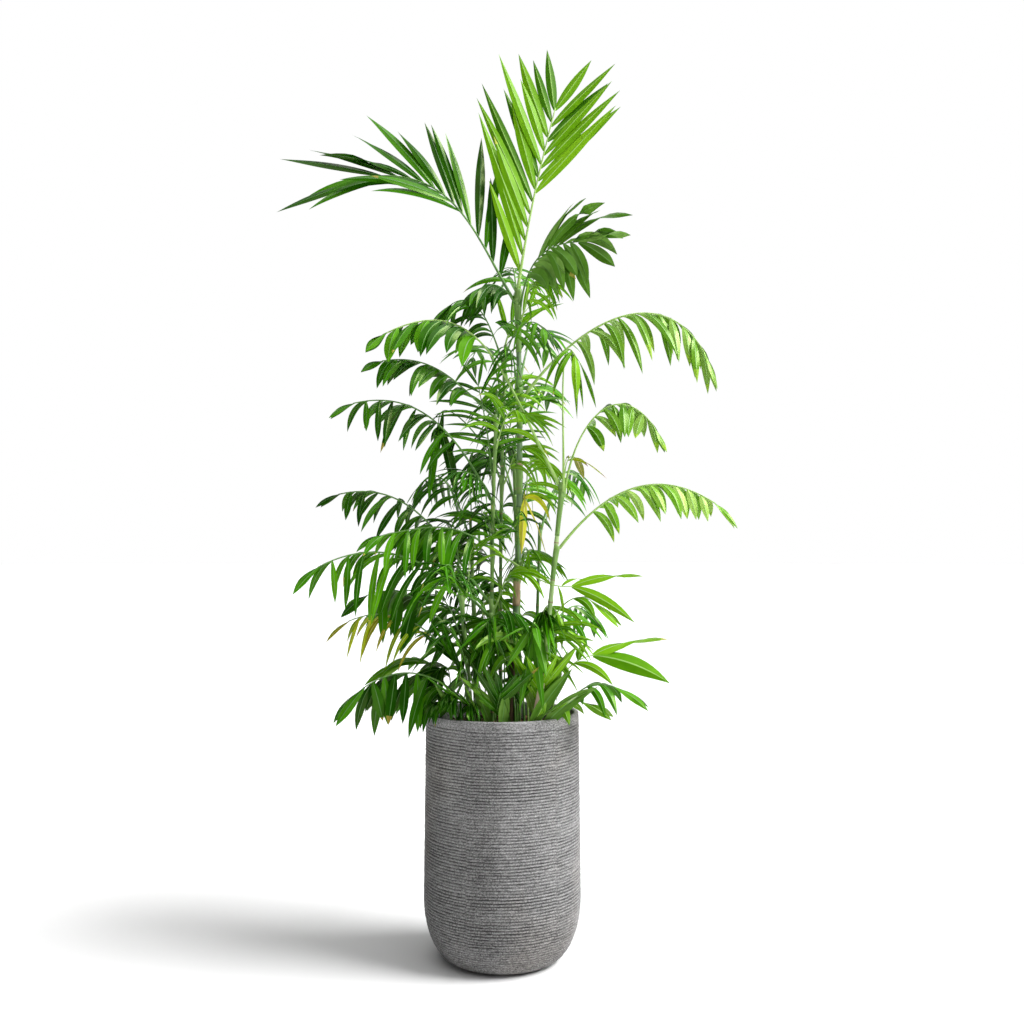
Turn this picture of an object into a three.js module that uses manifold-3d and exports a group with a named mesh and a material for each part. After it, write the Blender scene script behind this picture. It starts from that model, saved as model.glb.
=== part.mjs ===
// A potted bamboo palm: a ribbed clay planter, its soil, a clump of thin canes and the feathery fronds
// that arch off them. Millimetres, +Z up, origin at the middle of the planter's flat foot.
// +X is the viewer's right and +Y points away from the viewer.
import * as THREE from "three";
import { mergeVertices } from "three/addons/utils/BufferGeometryUtils.js";
import Module from "manifold-3d";

const wasm = await Module();
wasm.setup();

// Planter
const POT_HEIGHT = 500;
const POT_RADIUS = 160; // at the widest, where the wall turns in to the foot
const RIM_RADIUS = 156.5;
const FOOT_RADIUS = 96; // of the flat underside
const TURN_HEIGHT = 126; // where the wall turns in to the foot
const WALL = 10;
const FLOOR = 14;
const RIM_ROUND = 3;
const POT_SIDES = 56;
const FOOT_STEPS = 7;

// Soil
const SOIL_TOP = 468;
const SOIL_FLAT = 128; // radius of the level part that the stems stand on
const SOIL_DIP = 6; // how far it falls towards the wall
const GAP = 0.3; // between pieces that touch in life

// Stems
const CANE_SIDES = 8;
const CANE_STEPS = 8;
const JOINT_SWELL = 1.14; // a cane is this much thicker at its rings
const RIB_SIDES = 3;
const RIB_TURN = Math.PI / 6; // turns one side of the rib flat on top
const [FIRST, SECOND, KEEL] = [0, 1, 2]; // its corners: two on top, one below
const RIB_STEPS = 9;
const RIB_TIP = 0.5; // rib radius at its tip, as a share of the radius at its foot
const RIB_THIN = 1.5; // rib radius of the shortest frond
const RIB_GAIN = 1 / 280; // and its growth with the frond's length
const RIB_REACH = 0.42; // how far the rib's curve holds its first and last slope, as a share of its length

// Leaflets
const LEAF_THICKNESS = 1.8;
const LEAF_DEPTH = 0.012; // a long leaflet's thickness as a share of its length
const LEAF_NECK = 0.3; // width where a leaflet joins its rib, as a share of its widest
const WIDEST_AT = 0.42; // share of a leaflet's length
const SHORTENING = 0.4; // how much shorter the last leaflets are than the longest
const END_SPLAY = 20; // splay of the last pair, in degrees
const END_DROOP = 0.4; // its lift and sag, as a share of the other leaflets'
const LENGTH_JITTER = 0.2;
const SAG_JITTER = 0.4;
const BEND_STEPS = 8;

// A leaflet that would come this near to another piece is tried again with these changes of lift in degrees
// and these shares of its length, then left out.
const CLEARANCE = 0.4;
const TRIALS = [[0, 1], [14, 1], [-14, 1], [28, 0.9], [-28, 0.9], [10, 0.7], [-10, 0.7], [0, 0.5]];
const SEED_STEP = 7919;
const SEAT_PASSES = 3;
const SEAT_SEARCH = 60;

// Canes: foot and top as [x, y], height of the top, bow of the middle along x, and radius at foot and top.
const CANES = {
  tall: { foot: [14, 6], top: [31, 8], height: 1372, bow: 12, radii: [7, 5] },
  right: { foot: [72, -34], top: [122, -44], height: 968, bow: 0, radii: [5.6, 4] },
  left: { foot: [-20, -26], top: [-11, -30], height: 1158, bow: -5, radii: [3.8, 2.6] },
  centre: { foot: [-4, 34], top: [5, 20], height: 1256, bow: -4, radii: [4, 2.6] },
  low_left: { foot: [-58, -44], top: [-86, -50], height: 800, bow: -2, radii: [4, 2.6] },
  back: { foot: [34, 78], top: [22, 104], height: 1060, bow: 4, radii: [4.6, 3] },
  back_left: { foot: [-52, 52], top: [-70, 88], height: 905, bow: 0, radii: [4.2, 2.8] },
  back_right: { foot: [66, 44], top: [80, 96], height: 890, bow: 0, radii: [4.2, 2.8] },
};

// How leaflets sit: splay from the rib and lift out of the frond's plane, both in degrees; sag, the bend
// down along a leaflet; narrowing, the share of the splay lost towards the end of the rib; longest, the
// share of the leafy part of the rib where the leaflets are longest; and jitter, in degrees. A frond may
// have its own value for any of these, and a pair of values for the sides 1 and -1.
const HABITS = {
  upswept: { splay: 30, lift: 6, sag: 0.1, narrowing: 0, longest: 0, jitter: 5 },
  plume: { splay: 52, lift: 28, sag: 0.6, narrowing: 0.25, longest: 0.3, jitter: 6 },
  arching: { splay: 56, lift: -6, sag: 1.4, narrowing: 0.4, longest: 0.4, jitter: 14 },
  hanging: { splay: 62, lift: -36, sag: 1.6, narrowing: 0.35, longest: 0.4, jitter: 14 },
  weeping: { splay: 66, lift: -46, sag: 2.4, narrowing: 0.35, longest: 0.4, jitter: 15 },
  comb: { splay: 68, lift: 0, sag: 0.6, narrowing: 0.4, longest: 0.4, jitter: 9 },
};

// Fronds by the cane that carries them. at: height on the cane, or [x, y] on the soil. az: the way the frond
// reaches, in degrees from +X towards +Y. out and up: from its foot to the end of its rib. rise: slope at
// the foot. fall: downward slope at the end. reach: how far the rib's curve holds those slopes. roll: turn
// of its blade about the rib. bare: share of the rib without leaflets. pairs: of leaflets, without the last.
// leaf: longest leaflet and its width. end: length and width of the last pair.
const FRONDS = {
  tall: [
    { name: "top_upright", at: 1373, az: 30, out: 94, up: 404, rise: 80, fall: -74, roll: 60,
      bare: [0.04, 0.5], pairs: 12, leaf: [250, 23], habit: "upswept", splay: [30, 31], lift: 10,
      longest: 0.15, shortening: 0.4, hue: "bright", end: [140, 22] },
    { name: "top_left", at: 1352, az: 178, out: 285, up: 266, rise: 60, fall: 2, roll: -55,
      bare: [0.45, 0.1], pairs: 12, leaf: [212, 20], habit: "plume", splay: [32, 34], lift: [8, 18],
      sag: [0.6, 0.4], narrowing: 0.45, shortening: 0.05, hue: "dark", end: [232, 22] },
    { name: "top_right", at: 1338, az: 322, out: 150, up: 112, rise: 80, fall: 8, roll: 72, reach: 0.5,
      bare: [0.5, 0.24], pairs: 8, leaf: [152, 25], habit: "comb", splay: [46, 64], lift: [4, 10],
      sag: [1.3, 1], shortening: 0.2, hue: "mid", end: [118, 24] },
    { name: "top_front", at: 1344, az: 214, out: 80, up: 26, rise: 58, fall: 30, roll: 0, bare: 0.2,
      pairs: 4, leaf: [115, 17], habit: "hanging", splay: 55, jitter: 12, hue: "dark" },
    { name: "top_back", at: 1322, az: 95, out: 210, up: 130, rise: 66, fall: 15, roll: 0, bare: 0.25,
      pairs: 6, leaf: [125, 15], habit: "arching", hue: "mid" },
    { name: "crown_right", at: 1150, az: 357, out: 376, up: 87, rise: 55, fall: 62, roll: 0, reach: 0.49,
      bare: 0.27, pairs: 10, leaf: [130, 18], habit: "hanging", splay: [56, 68], lift: [6, -44],
      sag: [2.8, 1.7], narrowing: 0.25, shortening: 0.35, jitter: 18, hue: "light", end: [88, 15] },
    { name: "crown_back", at: 1180, az: 75, out: 250, up: 120, rise: 62, fall: 35, roll: 0, bare: 0.3,
      pairs: 7, leaf: [115, 16], habit: "arching", hue: "mid" },
    { name: "turning", at: 916, az: 300, out: 16, up: 22, rise: 66, fall: 60, roll: 0, bare: 0.4, pairs: 1,
      leaf: [95, 12], habit: "weeping", splay: 30, lift: -40, hue: "yellow", end: [124, 17] },
  ],
  right: [
    { name: "crown_left", at: 966, az: 182, out: 358, up: 302, rise: 62, fall: 28, roll: 0, reach: 0.5,
      bare: 0.55, pairs: 7, leaf: [98, 25], habit: "hanging", splay: [72, 56], lift: [-40, 0], hue: "mid" },
    { name: "near_right", at: 950, az: 300, out: 48, up: 268, rise: 86, fall: 50, roll: 0, bare: 0.86,
      pairs: 2, leaf: [124, 19], habit: "weeping", splay: [50, 84], lift: [-72, -26], sag: [3, 1.8],
      jitter: 8, shortening: 0, hue: "bright", end: [118, 18] },
    { name: "mid_right", at: 940, az: 5, out: 188, up: 142, rise: 84, fall: 55, roll: 0, reach: 0.61,
      bare: 0.36, pairs: 5, leaf: [78, 19], habit: "hanging", splay: [50, 88], lift: [0, -54],
      sag: [1.8, 1.2], narrowing: 0.2, shortening: 0.15, jitter: 16, hue: "light", end: [62, 15] },
    { name: "low_right", at: 836, az: 357, out: 316, up: 90, rise: 53, fall: 34, roll: 0, reach: 0.45,
      bare: 0.22, pairs: 9, leaf: [88, 18], habit: "hanging", splay: [54, 74], lift: [4, -48],
      sag: [2.4, 1.4], narrowing: 0.25, shortening: 0.55, jitter: 20, hue: "light", end: [72, 12] },
    { name: "right_blade", at: 690, az: 348, out: 80, up: 42, rise: 62, fall: 30, roll: 0, bare: 0.5,
      pairs: 1, leaf: [90, 15], habit: "arching", hue: "bright", end: [85, 18] },
    { name: "near_low", at: 640, az: 262, out: 46, up: 66, rise: 76, fall: 52, roll: 0, bare: 0.3, pairs: 5,
      leaf: [118, 19], habit: "weeping", splay: 54, lift: -56, hue: "mid" },
    { name: "dry", at: 925, az: 52, out: 48, up: 98, rise: 76, fall: 16, roll: 0, bare: 0.6, pairs: 1,
      leaf: [60, 8], habit: "arching", hue: "yellow", end: [92, 15] },
  ],
  left: [
    { name: "upper_left", at: 1105, az: 184, out: 228, up: 112, rise: 42, fall: 10, roll: 0, bare: 0.2,
      pairs: 8, leaf: [92, 18], habit: "hanging", splay: [66, 46], lift: [-34, 4], hue: "dark" },
    { name: "comb_left", at: 985, az: 150, out: 34, up: 190, rise: 84, fall: -76, roll: -60, bare: 0.15,
      pairs: 9, leaf: [110, 7], habit: "comb", hue: "mid" },
    { name: "mid_left", at: 935, az: 184, out: 280, up: 196, rise: 63, fall: 14, roll: 0, bare: 0.3,
      pairs: 7, leaf: [104, 14], habit: "hanging", splay: [84, 44], lift: [-62, 6], sag: [1.2, 2],
      narrowing: 0.15, jitter: 16, hue: "dark" },
    { name: "left_front", at: 838, az: 202, out: 225, up: 25, rise: 36, fall: 12, roll: 0, bare: 0.1,
      pairs: 8, leaf: [112, 15], habit: "weeping", splay: [76, 46], lift: [-58, 10], narrowing: 0.2,
      jitter: 18, hue: "mid" },
    { name: "left_high", at: 728, az: 172, out: 318, up: 222, rise: 52, fall: 12, roll: 0, bare: 0.26,
      pairs: 9, leaf: [98, 15], habit: "hanging", splay: [78, 44], lift: [-54, 8], sag: [1.3, 2],
      narrowing: 0.2, jitter: 18, hue: "dark" },
    { name: "left_long", at: 700, az: 190, out: 345, up: 100, rise: 46, fall: 28, roll: 0, bare: 0.2,
      pairs: 8, leaf: [132, 15], habit: "weeping", splay: [84, 40], lift: [-74, 0], sag: [1.2, 2.4],
      narrowing: 0.1, jitter: 14, hue: "mid" },
    { name: "fork_right", at: 826, az: 350, out: 160, up: -66, rise: -20, fall: -4, roll: 72, bare: 0.8,
      pairs: 1, leaf: [60, 7], habit: "arching", lift: 0, hue: "bright", end: [148, 22] },
  ],
  centre: [
    { name: "spear", at: 1257, az: 20, out: 55, up: 90, rise: 80, fall: -50, roll: 60, bare: 0.1, pairs: 4,
      leaf: [110, 10], habit: "upswept", hue: "bright" },
    { name: "nod_front", at: 1230, az: 300, out: 150, up: 40, rise: 72, fall: 40, roll: 0, bare: 0.25,
      pairs: 6, leaf: [105, 14], habit: "hanging", splay: [66, 50], lift: [-30, 10], hue: "mid" },
    { name: "nod_back", at: 1140, az: 108, out: 230, up: 130, rise: 62, fall: 30, roll: 0, bare: 0.3,
      pairs: 6, leaf: [110, 14], habit: "arching", hue: "mid" },
    { name: "comb_right", at: 985, az: 52, out: 52, up: 190, rise: 84, fall: -70, roll: 38, bare: 0.15,
      pairs: 9, leaf: [95, 7], habit: "comb", hue: "mid" },
    { name: "inner_left", at: 985, az: 190, out: 128, up: 108, rise: 72, fall: 92, roll: 50, reach: 0.5,
      bare: 0.75, pairs: 1, leaf: [85, 12], habit: "hanging", hue: "dark", end: [168, 27] },
  ],
  low_left: [
    { name: "left_low", at: 640, az: 174, out: 200, up: 100, rise: 50, fall: 22, roll: 0, bare: 0.24,
      pairs: 4, leaf: [118, 22], habit: "weeping", splay: [86, 44], lift: [-66, 4], sag: [1.4, 2.4],
      narrowing: 0.1, jitter: 18, hue: "dark" },
    { name: "left_yellow", at: 582, az: 180, out: 236, up: 108, rise: 56, fall: 24, roll: 0, bare: 0.3,
      pairs: 7, leaf: [112, 8], habit: "hanging", splay: [72, 50], lift: [-52, -14], hue: "yellow" },
    { name: "left_skirt", at: 520, az: 198, out: 214, up: 44, rise: 50, fall: 34, roll: 0,
      bare: [0.4, 0.36], pairs: 6, leaf: [124, 20], habit: "weeping", splay: [86, 52], lift: [-72, -30],
      sag: [0.8, 2], narrowing: 0.1, jitter: 16, hue: "dark", end: [96, 20] },
    { name: "fan_front", at: 742, az: 258, out: 115, up: 36, rise: 52, fall: 14, roll: 8, bare: 0.22,
      pairs: 4, leaf: [125, 15], habit: "arching", hue: "mid" },
    { name: "inner_low", at: 600, az: 322, out: 120, up: 110, rise: 66, fall: 20, roll: 0, bare: 0.25,
      pairs: 6, leaf: [110, 11], habit: "hanging", hue: "mid" },
  ],
  back: [
    { name: "back_high", at: 1050, az: 70, out: 240, up: 150, rise: 66, fall: 28, roll: 0, bare: 0.3,
      pairs: 8, leaf: [115, 15], habit: "arching", hue: "mid" },
    { name: "back_out", at: 930, az: 108, out: 290, up: 110, rise: 60, fall: 38, roll: 0, bare: 0.3,
      pairs: 8, leaf: [115, 15], habit: "hanging", hue: "dark" },
    { name: "back_low", at: 740, az: 84, out: 270, up: 60, rise: 50, fall: 40, roll: 0, bare: 0.25,
      pairs: 8, leaf: [115, 16], habit: "hanging", hue: "mid" },
  ],
  back_left: [
    { name: "back_left_high", at: 850, az: 120, out: 250, up: 130, rise: 62, fall: 32, roll: 0, bare: 0.3,
      pairs: 8, leaf: [105, 15], habit: "hanging", hue: "dark" },
    { name: "back_left_low", at: 650, az: 150, out: 250, up: 60, rise: 48, fall: 42, roll: 0, bare: 0.25,
      pairs: 7, leaf: [115, 16], habit: "hanging", hue: "mid" },
  ],
  back_right: [
    { name: "back_right_high", at: 870, az: 64, out: 240, up: 120, rise: 62, fall: 35, roll: 0, bare: 0.3,
      pairs: 7, leaf: [105, 15], habit: "hanging", hue: "mid" },
    { name: "back_right_low", at: 620, az: 52, out: 210, up: 60, rise: 52, fall: 45, roll: 0, bare: 0.25,
      pairs: 6, leaf: [105, 16], habit: "hanging", hue: "mid" },
  ],
  soil: [
    { name: "right_long", at: [96, -10], az: 358, out: 92, up: 148, rise: 80, fall: -10, roll: 46,
      bare: 0.7, pairs: 1, leaf: [100, 20], habit: "arching", lift: 4, sag: 1.5, hue: "bright",
      end: [168, 38] },
    { name: "right_low", at: [98, -58], az: 352, out: 130, up: 90, rise: 66, fall: 20, roll: 0, bare: 0.45,
      pairs: 3, leaf: [80, 15], habit: "arching", hue: "mid", end: [85, 18] },
    { name: "base_right", at: [46, -96], az: 338, out: 44, up: 42, rise: 54, fall: -30, roll: 0, bare: 0.3,
      pairs: 1, leaf: [80, 20], habit: "upswept", hue: "bright", end: [96, 27] },
    { name: "base_middle", at: [14, -98], az: 196, out: 26, up: 60, rise: 80, fall: -55, roll: -60,
      bare: 0.3, pairs: 2, leaf: [90, 13], habit: "upswept", hue: "mid", end: [100, 17] },
    { name: "base_left", at: [-24, -100], az: 204, out: 48, up: 62, rise: 66, fall: -36, roll: 0, bare: 0.4,
      pairs: 2, leaf: [90, 16], habit: "upswept", hue: "mid", end: [105, 19] },
    { name: "base_out", at: [74, -74], az: 350, out: 88, up: 62, rise: 62, fall: 14, roll: 0, bare: 0.4,
      pairs: 1, leaf: [70, 16], habit: "arching", hue: "bright", end: [72, 22] },
    { name: "base_tall", at: [46, -66], az: 196, out: 70, up: 205, rise: 84, fall: 30, roll: 0, bare: 0.4,
      pairs: 5, leaf: [150, 17], habit: "weeping", splay: [60, 40], lift: [-56, -30], hue: "mid" },
    { name: "base_centre", at: [66, -72], az: 300, out: 30, up: 96, rise: 82, fall: -60, roll: -30,
      bare: 0.2, pairs: 4, leaf: [105, 16], habit: "upswept", splay: 22, hue: "bright", end: [115, 20] },
    { name: "base_fill", at: [-66, -76], az: 250, out: 40, up: 170, rise: 84, fall: -50, roll: -60,
      bare: 0.35, pairs: 5, leaf: [110, 12], habit: "arching", hue: "mid" },
    { name: "base_back", at: [0, 104], az: 96, out: 90, up: 150, rise: 78, fall: 10, roll: 0, bare: 0.4,
      pairs: 3, leaf: [105, 18], habit: "arching", hue: "mid", end: [110, 24] },
    { name: "base_back_left", at: [-92, 22], az: 160, out: 120, up: 130, rise: 74, fall: 20, roll: 0,
      bare: 0.4, pairs: 3, leaf: [100, 17], habit: "arching", hue: "mid", end: [105, 22] },
  ],
};

const PLANTER_HUE = { color: 0x77777a, roughness: 0.9, metalness: 0 };
const SOIL_HUE = { color: 0x3a2c20, roughness: 1, metalness: 0 };
const CANE_HUE = { color: 0x577a3c, roughness: 0.6, metalness: 0 };
const PALE_CANE_HUE = { color: 0x8aa377, roughness: 0.6, metalness: 0 };
const PALE_CANES = ["tall", "right"];
const HUES = {
  dark: { color: 0x2f5f27, roughness: 0.45, metalness: 0 },
  mid: { color: 0x437d2b, roughness: 0.45, metalness: 0 },
  bright: { color: 0x6fa534, roughness: 0.45, metalness: 0 },
  light: { color: 0x86b860, roughness: 0.4, metalness: 0 },
  yellow: { color: 0xa79a45, roughness: 0.6, metalness: 0 },
};

const UP = new THREE.Vector3(0, 0, 1);
const radians = THREE.MathUtils.degToRad;
const lerp = THREE.MathUtils.lerp;

// A repeatable stream of numbers from -1 to 1.
function randomFrom(seed) {
  let state = seed;
  return () => {
    state = (Math.imul(state, 1664525) + 1013904223) >>> 0;
    return state / 2147483648 - 1;
  };
}

// p + a * u + b * v, as a new vector.
function offset(p, u, a, v = UP, b = 0) {
  return p.clone().addScaledVector(u, a).addScaledVector(v, b);
}

// A closed surface made of bands between rings of points. Rings run counter-clockwise about the way from
// the first to the last, seen from outside the band's end.
class Skin {
  points = [];
  faces = [];

  add(...points) {
    const start = this.points.length;
    this.points.push(...points);
    return points.map((_, i) => start + i);
  }

  // A face whose corners fall together is left out.
  face(a, b, c) {
    if (a !== b && b !== c && c !== a) this.faces.push(a, b, c);
  }

  // Joins two rings of as many corners, but for the sides named in open.
  band(low, high, open = []) {
    for (let i = 0; i < low.length; i++) {
      if (open.includes(i)) continue;
      const next = (i + 1) % low.length;
      this.face(low[i], low[next], high[next]);
      this.face(low[i], high[next], high[i]);
    }
  }

  cap(ring) {
    for (let i = 1; i + 1 < ring.length; i++) this.face(ring[0], ring[i], ring[i + 1]);
  }

  get geometry() {
    return new THREE.BufferGeometry().setFromPoints(this.points).setIndex(this.faces);
  }
}

// Points round p, in the plane of the unit vectors u and v.
function ring(p, u, v, radius, sides, first = 0) {
  return Array.from({ length: sides }, (_, i) => {
    const angle = first + (2 * Math.PI * i) / sides;
    return offset(p, u, radius * Math.cos(angle), v, radius * Math.sin(angle));
  });
}

function solidOf(geometry) {
  const plain = new THREE.BufferGeometry()
    .setAttribute("position", geometry.attributes.position)
    .setIndex(geometry.index);
  const merged = mergeVertices(plain);
  return new wasm.Manifold(
    new wasm.Mesh({
      numProp: 3,
      vertProperties: new Float32Array(merged.attributes.position.array),
      triVerts: new Uint32Array(merged.index.array),
    }),
  );
}

function geometryOf(solid) {
  const mesh = solid.getMesh();
  return new THREE.BufferGeometry()
    .setAttribute("position", new THREE.BufferAttribute(new Float32Array(mesh.vertProperties), 3))
    .setIndex(new THREE.BufferAttribute(new Uint32Array(mesh.triVerts), 1));
}

// The planter's foot and wall in section, set in by a thickness, from the edge of the flat foot upwards.
function wallSection(inset, floor, top) {
  const foot = FOOT_RADIUS - inset;
  const wide = POT_RADIUS - inset;
  const points = [];
  for (let i = 0; i <= FOOT_STEPS; i++) {
    const angle = ((i / FOOT_STEPS) * Math.PI) / 2;
    points.push(
      new THREE.Vector2(lerp(foot, wide, Math.sin(angle)), lerp(TURN_HEIGHT, floor, Math.cos(angle))),
    );
  }
  const share = (top - TURN_HEIGHT) / (POT_HEIGHT - TURN_HEIGHT);
  points.push(new THREE.Vector2(lerp(wide, RIM_RADIUS - inset, share), top));
  return points;
}

function turned(section) {
  return new THREE.LatheGeometry(section, POT_SIDES).rotateX(Math.PI / 2);
}

function planterGeometry() {
  return turned([
    new THREE.Vector2(0, 0),
    ...wallSection(0, 0, POT_HEIGHT - RIM_ROUND),
    new THREE.Vector2(RIM_RADIUS - RIM_ROUND, POT_HEIGHT),
    new THREE.Vector2(RIM_RADIUS - WALL + RIM_ROUND, POT_HEIGHT),
    ...wallSection(WALL, FLOOR, POT_HEIGHT - RIM_ROUND).reverse(),
    new THREE.Vector2(0, FLOOR),
  ]);
}

function soilGeometry() {
  return turned([
    new THREE.Vector2(0, FLOOR + GAP),
    ...wallSection(WALL + 2 * GAP, FLOOR + GAP, SOIL_TOP - SOIL_DIP),
    new THREE.Vector2(SOIL_FLAT, SOIL_TOP),
    new THREE.Vector2(0, SOIL_TOP),
  ]);
}

// The middle of a cane, and its radius, at a share of its height.
function caneAt(cane, share) {
  const foot = SOIL_TOP + GAP;
  return {
    middle: new THREE.Vector3(
      lerp(cane.foot[0], cane.top[0], share) + cane.bow * Math.sin(Math.PI * share),
      lerp(cane.foot[1], cane.top[1], share),
      lerp(foot, cane.height, share),
    ),
    radius: lerp(cane.radii[0], cane.radii[1], share),
  };
}

// A cane swells at every second ring of points, where its old leaves have left their scars.
function caneGeometry(cane) {
  const across = new THREE.Vector3(1, 0, 0);
  const away = new THREE.Vector3(0, 1, 0);
  const skin = new Skin();
  let low;
  for (let i = 0; i <= CANE_STEPS; i++) {
    const { middle, radius } = caneAt(cane, i / CANE_STEPS);
    const size = radius * (i % 2 ? JOINT_SWELL : 1);
    const high = skin.add(...ring(middle, across, away, size, CANE_SIDES));
    if (low) skin.band(low, high);
    else skin.cap([...high].reverse());
    low = high;
  }
  skin.cap(low);
  return skin.geometry;
}

// A frond's rib before it is seated: its curve in an upright plane, the level vector across that plane,
// its radius at the foot, its length and the way it is moved to seat it.
function ribOf(frond, carrier) {
  const heading = new THREE.Vector3(Math.cos(radians(frond.az)), Math.sin(radians(frond.az)), 0);
  const across = new THREE.Vector3(-heading.y, heading.x, 0);
  const chord = Math.hypot(frond.out, frond.up);
  const radius = RIB_THIN + chord * RIB_GAIN;
  const cane = CANES[carrier];
  let foot;
  let seatWay = UP;
  if (!cane) foot = new THREE.Vector3(frond.at[0], frond.at[1], SOIL_TOP + radius);
  else if (frond.at > cane.height) foot = offset(caneAt(cane, 1).middle, UP, 2 * radius);
  else {
    const share = (frond.at - SOIL_TOP) / (cane.height - SOIL_TOP);
    const stem = caneAt(cane, share);
    foot = offset(stem.middle, heading, stem.radius * JOINT_SWELL + 2 * radius);
    seatWay = heading;
  }
  const reach = (frond.reach ?? RIB_REACH) * chord;
  const rise = radians(frond.rise);
  const fall = radians(frond.fall);
  const end = offset(foot, heading, frond.out, UP, frond.up);
  const curve = new THREE.CubicBezierCurve3(
    foot,
    offset(foot, heading, reach * Math.cos(rise), UP, reach * Math.sin(rise)),
    offset(end, heading, -reach * Math.cos(fall), UP, reach * Math.sin(fall)),
    end,
  );
  return { curve, across, radius, length: curve.getLength(), roll: radians(frond.roll), seatWay };
}

// Place, tangent, side and upper normal of a frond at a share of its rib.
function frameAt(rib, share) {
  const along = rib.curve.getTangent(share);
  const above = along.clone().cross(rib.across);
  const side = offset(rib.across.clone().multiplyScalar(Math.cos(rib.roll)), above, Math.sin(rib.roll));
  return { middle: rib.curve.getPoint(share), along, side, normal: along.clone().cross(side) };
}

// The rib is three-sided: a flat top, and two lower sides that the leaflets spring from. The corners named
// FIRST and SECOND lie on the sides of the leaflets with side 1 and -1.
function ribRing(rib, share) {
  const { middle, side, normal } = frameAt(rib, share);
  return ring(middle, side, normal, rib.radius * lerp(1, RIB_TIP, share), RIB_SIDES, RIB_TURN);
}

function sided(value, side) {
  if (!Array.isArray(value)) return value;
  return side > 0 ? value[0] : value[1];
}

// Pairs of leaflets from the foot of the frond up: the share of the rib where their necks begin and end,
// and how the leaflet of each side is sized and turned.
function pairsOf(frond, rib, seed) {
  const habit = { shortening: SHORTENING, ...HABITS[frond.habit], ...frond };
  const bare = Math.min(sided(frond.bare, 1), sided(frond.bare, -1));
  const random = randomFrom(seed);
  const [longest, widest] = frond.leaf;
  const pairs = [];
  for (let i = 0; i < frond.pairs; i++) {
    const along = (i + 0.5) / (frond.pairs + 0.5);
    const fromLongest = (along - habit.longest) / (1 - habit.longest);
    const middle = lerp(bare, 1, along);
    const neck = (LEAF_NECK * widest) / rib.length / 2;
    const leaflets = [1, -1].map((side) => ({
      side,
      splay: sided(habit.splay, side) * (1 - habit.narrowing * along) + habit.jitter * random(),
      lift: sided(habit.lift, side) + habit.jitter * random(),
      length: longest * (1 - habit.shortening * fromLongest ** 2) * (1 + LENGTH_JITTER * random()),
      width: widest,
      sag: sided(habit.sag, side) * (1 + SAG_JITTER * random()),
    }));
    const grown = leaflets.filter((leaflet) => middle >= sided(frond.bare, leaflet.side));
    pairs.push({ from: middle - neck, to: middle + neck, leaflets: grown });
  }
  const [length, width] = frond.end ?? [longest * (1 - SHORTENING), widest];
  const ends = [1, -1].map((side) => ({
    side,
    splay: END_SPLAY,
    lift: sided(habit.lift, side) * END_DROOP,
    length,
    width,
    sag: sided(habit.sag, side) * END_DROOP,
  }));
  pairs.push({ from: 1 - (LEAF_NECK * width) / rib.length, to: 1, leaflets: ends });
  return pairs;
}

// Rings of a rib, with extra ones where the leaflets are far apart.
function sharesOf(pairs) {
  const shares = [0, ...pairs.flatMap((pair) => [pair.from, pair.to])];
  if (!pairs.length) shares.push(1);
  for (let i = shares.length - 1; i > 0; i--) {
    const gap = shares[i] - shares[i - 1];
    const extra = Math.floor(gap * RIB_STEPS);
    for (let k = extra; k > 0; k--) shares.splice(i, 0, shares[i - 1] + (gap * k) / (extra + 1));
  }
  return shares;
}

// The four corners on a rib that a leaflet springs from, between two of the rib's rings.
function neckOf(low, high, side) {
  return side > 0
    ? [low[KEEL], low[FIRST], high[FIRST], high[KEEL]]
    : [low[SECOND], low[KEEL], high[KEEL], high[SECOND]];
}

// A leaflet as a thin keeled blade, bent down by its own weight: its widest section and its tip.
function bladeOf(rib, pair, leaflet, neck, [turn, shorten]) {
  const { along, side, normal } = frameAt(rib, (pair.from + pair.to) / 2);
  const splay = radians(leaflet.splay);
  const lift = radians(leaflet.lift + turn);
  const outward = leaflet.side * Math.sin(splay) * Math.cos(lift);
  const way = new THREE.Vector3()
    .addScaledVector(along, Math.cos(splay))
    .addScaledVector(side, outward)
    .addScaledVector(normal, Math.sin(splay) * Math.sin(lift));
  const step = (leaflet.length * shorten) / BEND_STEPS;
  const point = new THREE.Vector3();
  for (const corner of neck) point.addScaledVector(corner, 1 / neck.length);
  let section;
  for (let i = 1; i <= BEND_STEPS; i++) {
    point.addScaledVector(way, step);
    way.addScaledVector(UP, -leaflet.sag / BEND_STEPS).normalize();
    if (i === Math.round(WIDEST_AT * BEND_STEPS)) {
      const forward = offset(along, way, -along.dot(way)).normalize();
      const below = way.clone().cross(forward).multiplyScalar(leaflet.side);
      const half = leaflet.width / 2;
      const keel = offset(point, below, Math.max(LEAF_THICKNESS, LEAF_DEPTH * leaflet.length));
      section = [offset(point, forward, -half), keel, offset(point, forward, half)];
    }
  }
  return { section, tip: point };
}

// Grows a blade on a skin from the four corners of its neck.
function addBlade(skin, neck, blade, side) {
  const [back, keel, front] = skin.add(...blade.section);
  const [tip] = skin.add(blade.tip);
  const middle = side > 0 ? [keel, back, front, keel] : [back, keel, keel, front];
  skin.band(neck, middle);
  skin.band(middle, middle.map(() => tip));
}

function bladeSolid(neck, blade, side) {
  const skin = new Skin();
  const corners = skin.add(...neck);
  skin.cap([...corners].reverse());
  addBlade(skin, corners, blade, side);
  return solidOf(skin.geometry);
}

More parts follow.
